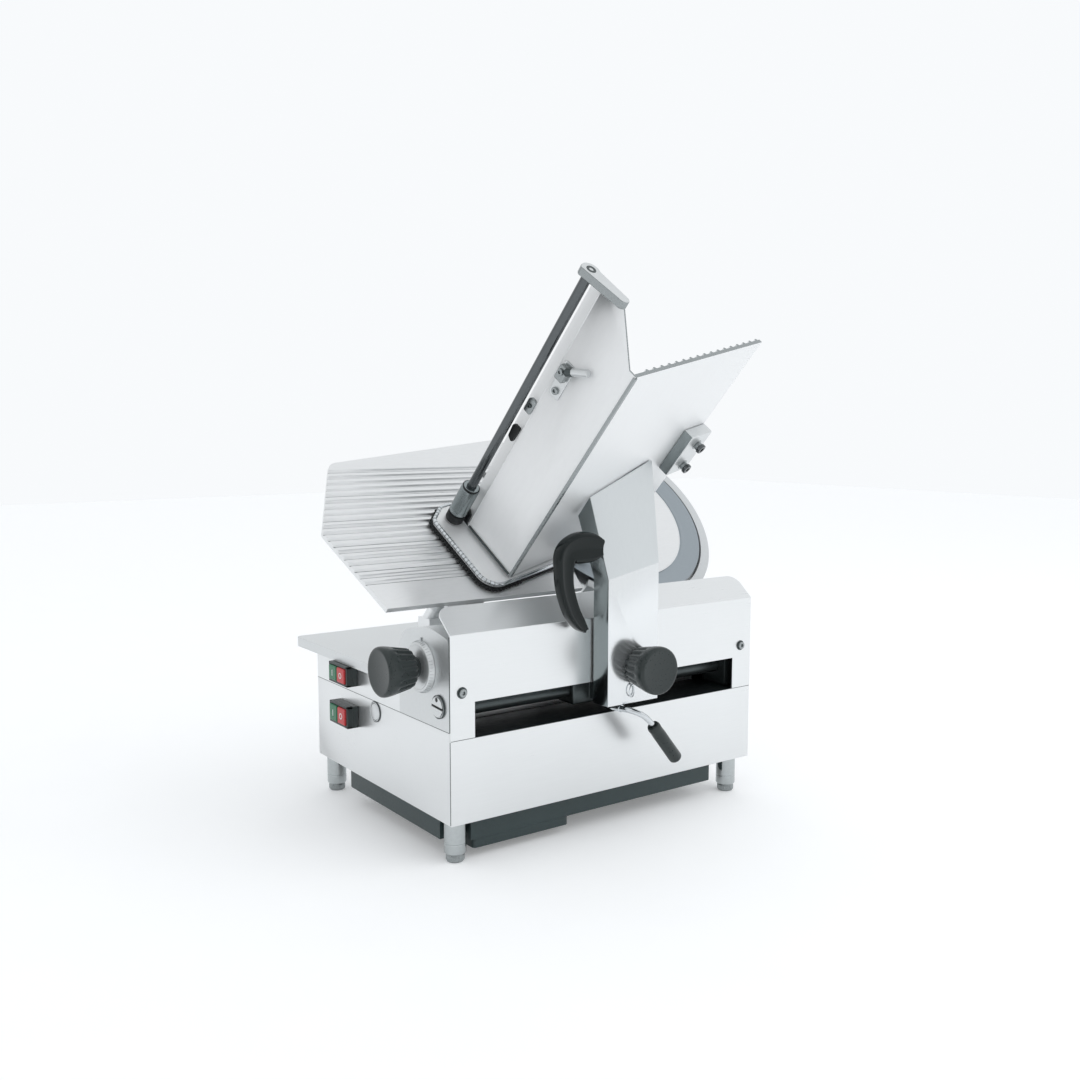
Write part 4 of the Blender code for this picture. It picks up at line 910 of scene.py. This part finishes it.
ring_angles = [2 * math.pi * k / 40 for k in range(40)]
ring_line = [Vector((0.0058 * math.cos(a), 0.0, 0.0096 * math.sin(a))) for a in ring_angles]
piece("pull_ring", merged((hose(ring_line, 0.0011, 12, True), EYE),
                          (hose([Vector((0, 0.0022, 0.0098)), Vector((0, -0.0012, 0.0098))], 0.0016, 12),
                           EYE)),
      shifted(MACHINE, 0.2985, -0.0430, 0.1660, "Z", 12), "chrome", "chute")

# ---------------------------------------------------------------- floor, light, camera
FLOOR_REACH = 8
FLOOR_GLOW = 0.19
floor_mesh = bpy.data.meshes.new("floor")
floor_mesh.from_pydata([(x * FLOOR_REACH, y * FLOOR_REACH, 0)
                        for x, y in ((-1, -1), (1, -1), (1, 1), (-1, 1))], [], [(0, 1, 2, 3)])
floor = bpy.data.objects.new("floor", floor_mesh)
bpy.context.scene.collection.objects.link(floor)
floor_look = finish("floor", (0.84, 0.85, 0.86), 0.7, 0.0, (1, 1, 1), 0.01, 0.02, 0.0, 0.0, 0.0, 0.1)
floor_shader = floor_look.node_tree.nodes["Principled BSDF"]
floor_shader.inputs["Emission Color"].default_value = (1, 1, 1, 1)
floor_shader.inputs["Emission Strength"].default_value = FLOOR_GLOW
floor_mesh.materials.append(floor_look)

world = bpy.data.worlds.new("studio")
bpy.context.scene.world = world
world.use_nodes = True
sky = world.node_tree
background = sky.nodes["Background"]
background.inputs["Color"].default_value = (0.940, 0.958, 0.975, 1.0)
bpy.context.scene.view_settings.view_transform = "Standard"

# the room is white all round, and a little dimmer in two soft lobes, front left and left
direction = sky.nodes.new("ShaderNodeTexCoord")


def dim_lobe(towards, start, end, strength):
    """Brightness by direction: 1 away from a lobe, strength at its centre."""
    alignment = sky.nodes.new("ShaderNodeVectorMath")
    alignment.operation = "DOT_PRODUCT"
    alignment.inputs[1].default_value = towards
    sky.links.new(direction.outputs["Generated"], alignment.inputs[0])
    fade = sky.nodes.new("ShaderNodeMapRange")
    fade.interpolation_type = "SMOOTHSTEP"
    fade.inputs["From Min"].default_value = start
    fade.inputs["From Max"].default_value = end
    fade.inputs["To Min"].default_value = 1.0
    fade.inputs["To Max"].default_value = strength
    sky.links.new(alignment.outputs["Value"], fade.inputs["Value"])
    return fade.outputs["Result"]


both = sky.nodes.new("ShaderNodeMath")
both.operation = "MULTIPLY"
sky.links.new(dim_lobe((-0.578, -0.808, 0.115), 0.70, 0.97, 0.62), both.inputs[0])
sky.links.new(dim_lobe((-0.86, 0.50, -0.05), 0.45, 0.95, 0.84), both.inputs[1])
sky.links.new(both.outputs["Value"], background.inputs["Strength"])

# one soft square light, left out of glossy reflections
KEY_PLACE = (1.8, -2.4, 2.8)
KEY_AIM = (0, 0, 0.3)
key_data = bpy.data.lights.new("key", "AREA")
key_data.size = 3.0
key_data.energy = 30
key = bpy.data.objects.new("key", key_data)
bpy.context.scene.collection.objects.link(key)
key.location = KEY_PLACE
key.visible_glossy = False
key.rotation_euler = (Vector(KEY_AIM) - Vector(KEY_PLACE)).to_track_quat("-Z", "Y").to_euler()

# the photograph's viewpoint
CAMERA_PLACE = (-0.7967, -1.3337, 0.5766)
CAMERA_TILT = 84.0
CAMERA_HEADING = -35.53
LENS = 37.3
SENSOR = 36.0
camera_data = bpy.data.cameras.new("camera")
camera_data.lens = LENS
camera_data.sensor_width = SENSOR
camera = bpy.data.objects.new("camera", camera_data)
bpy.context.scene.collection.objects.link(camera)
camera.location = MACHINE @ Vector(CAMERA_PLACE)
camera.rotation_euler = (math.radians(CAMERA_TILT), 0, math.radians(CAMERA_HEADING))
bpy.context.scene.camera = camera
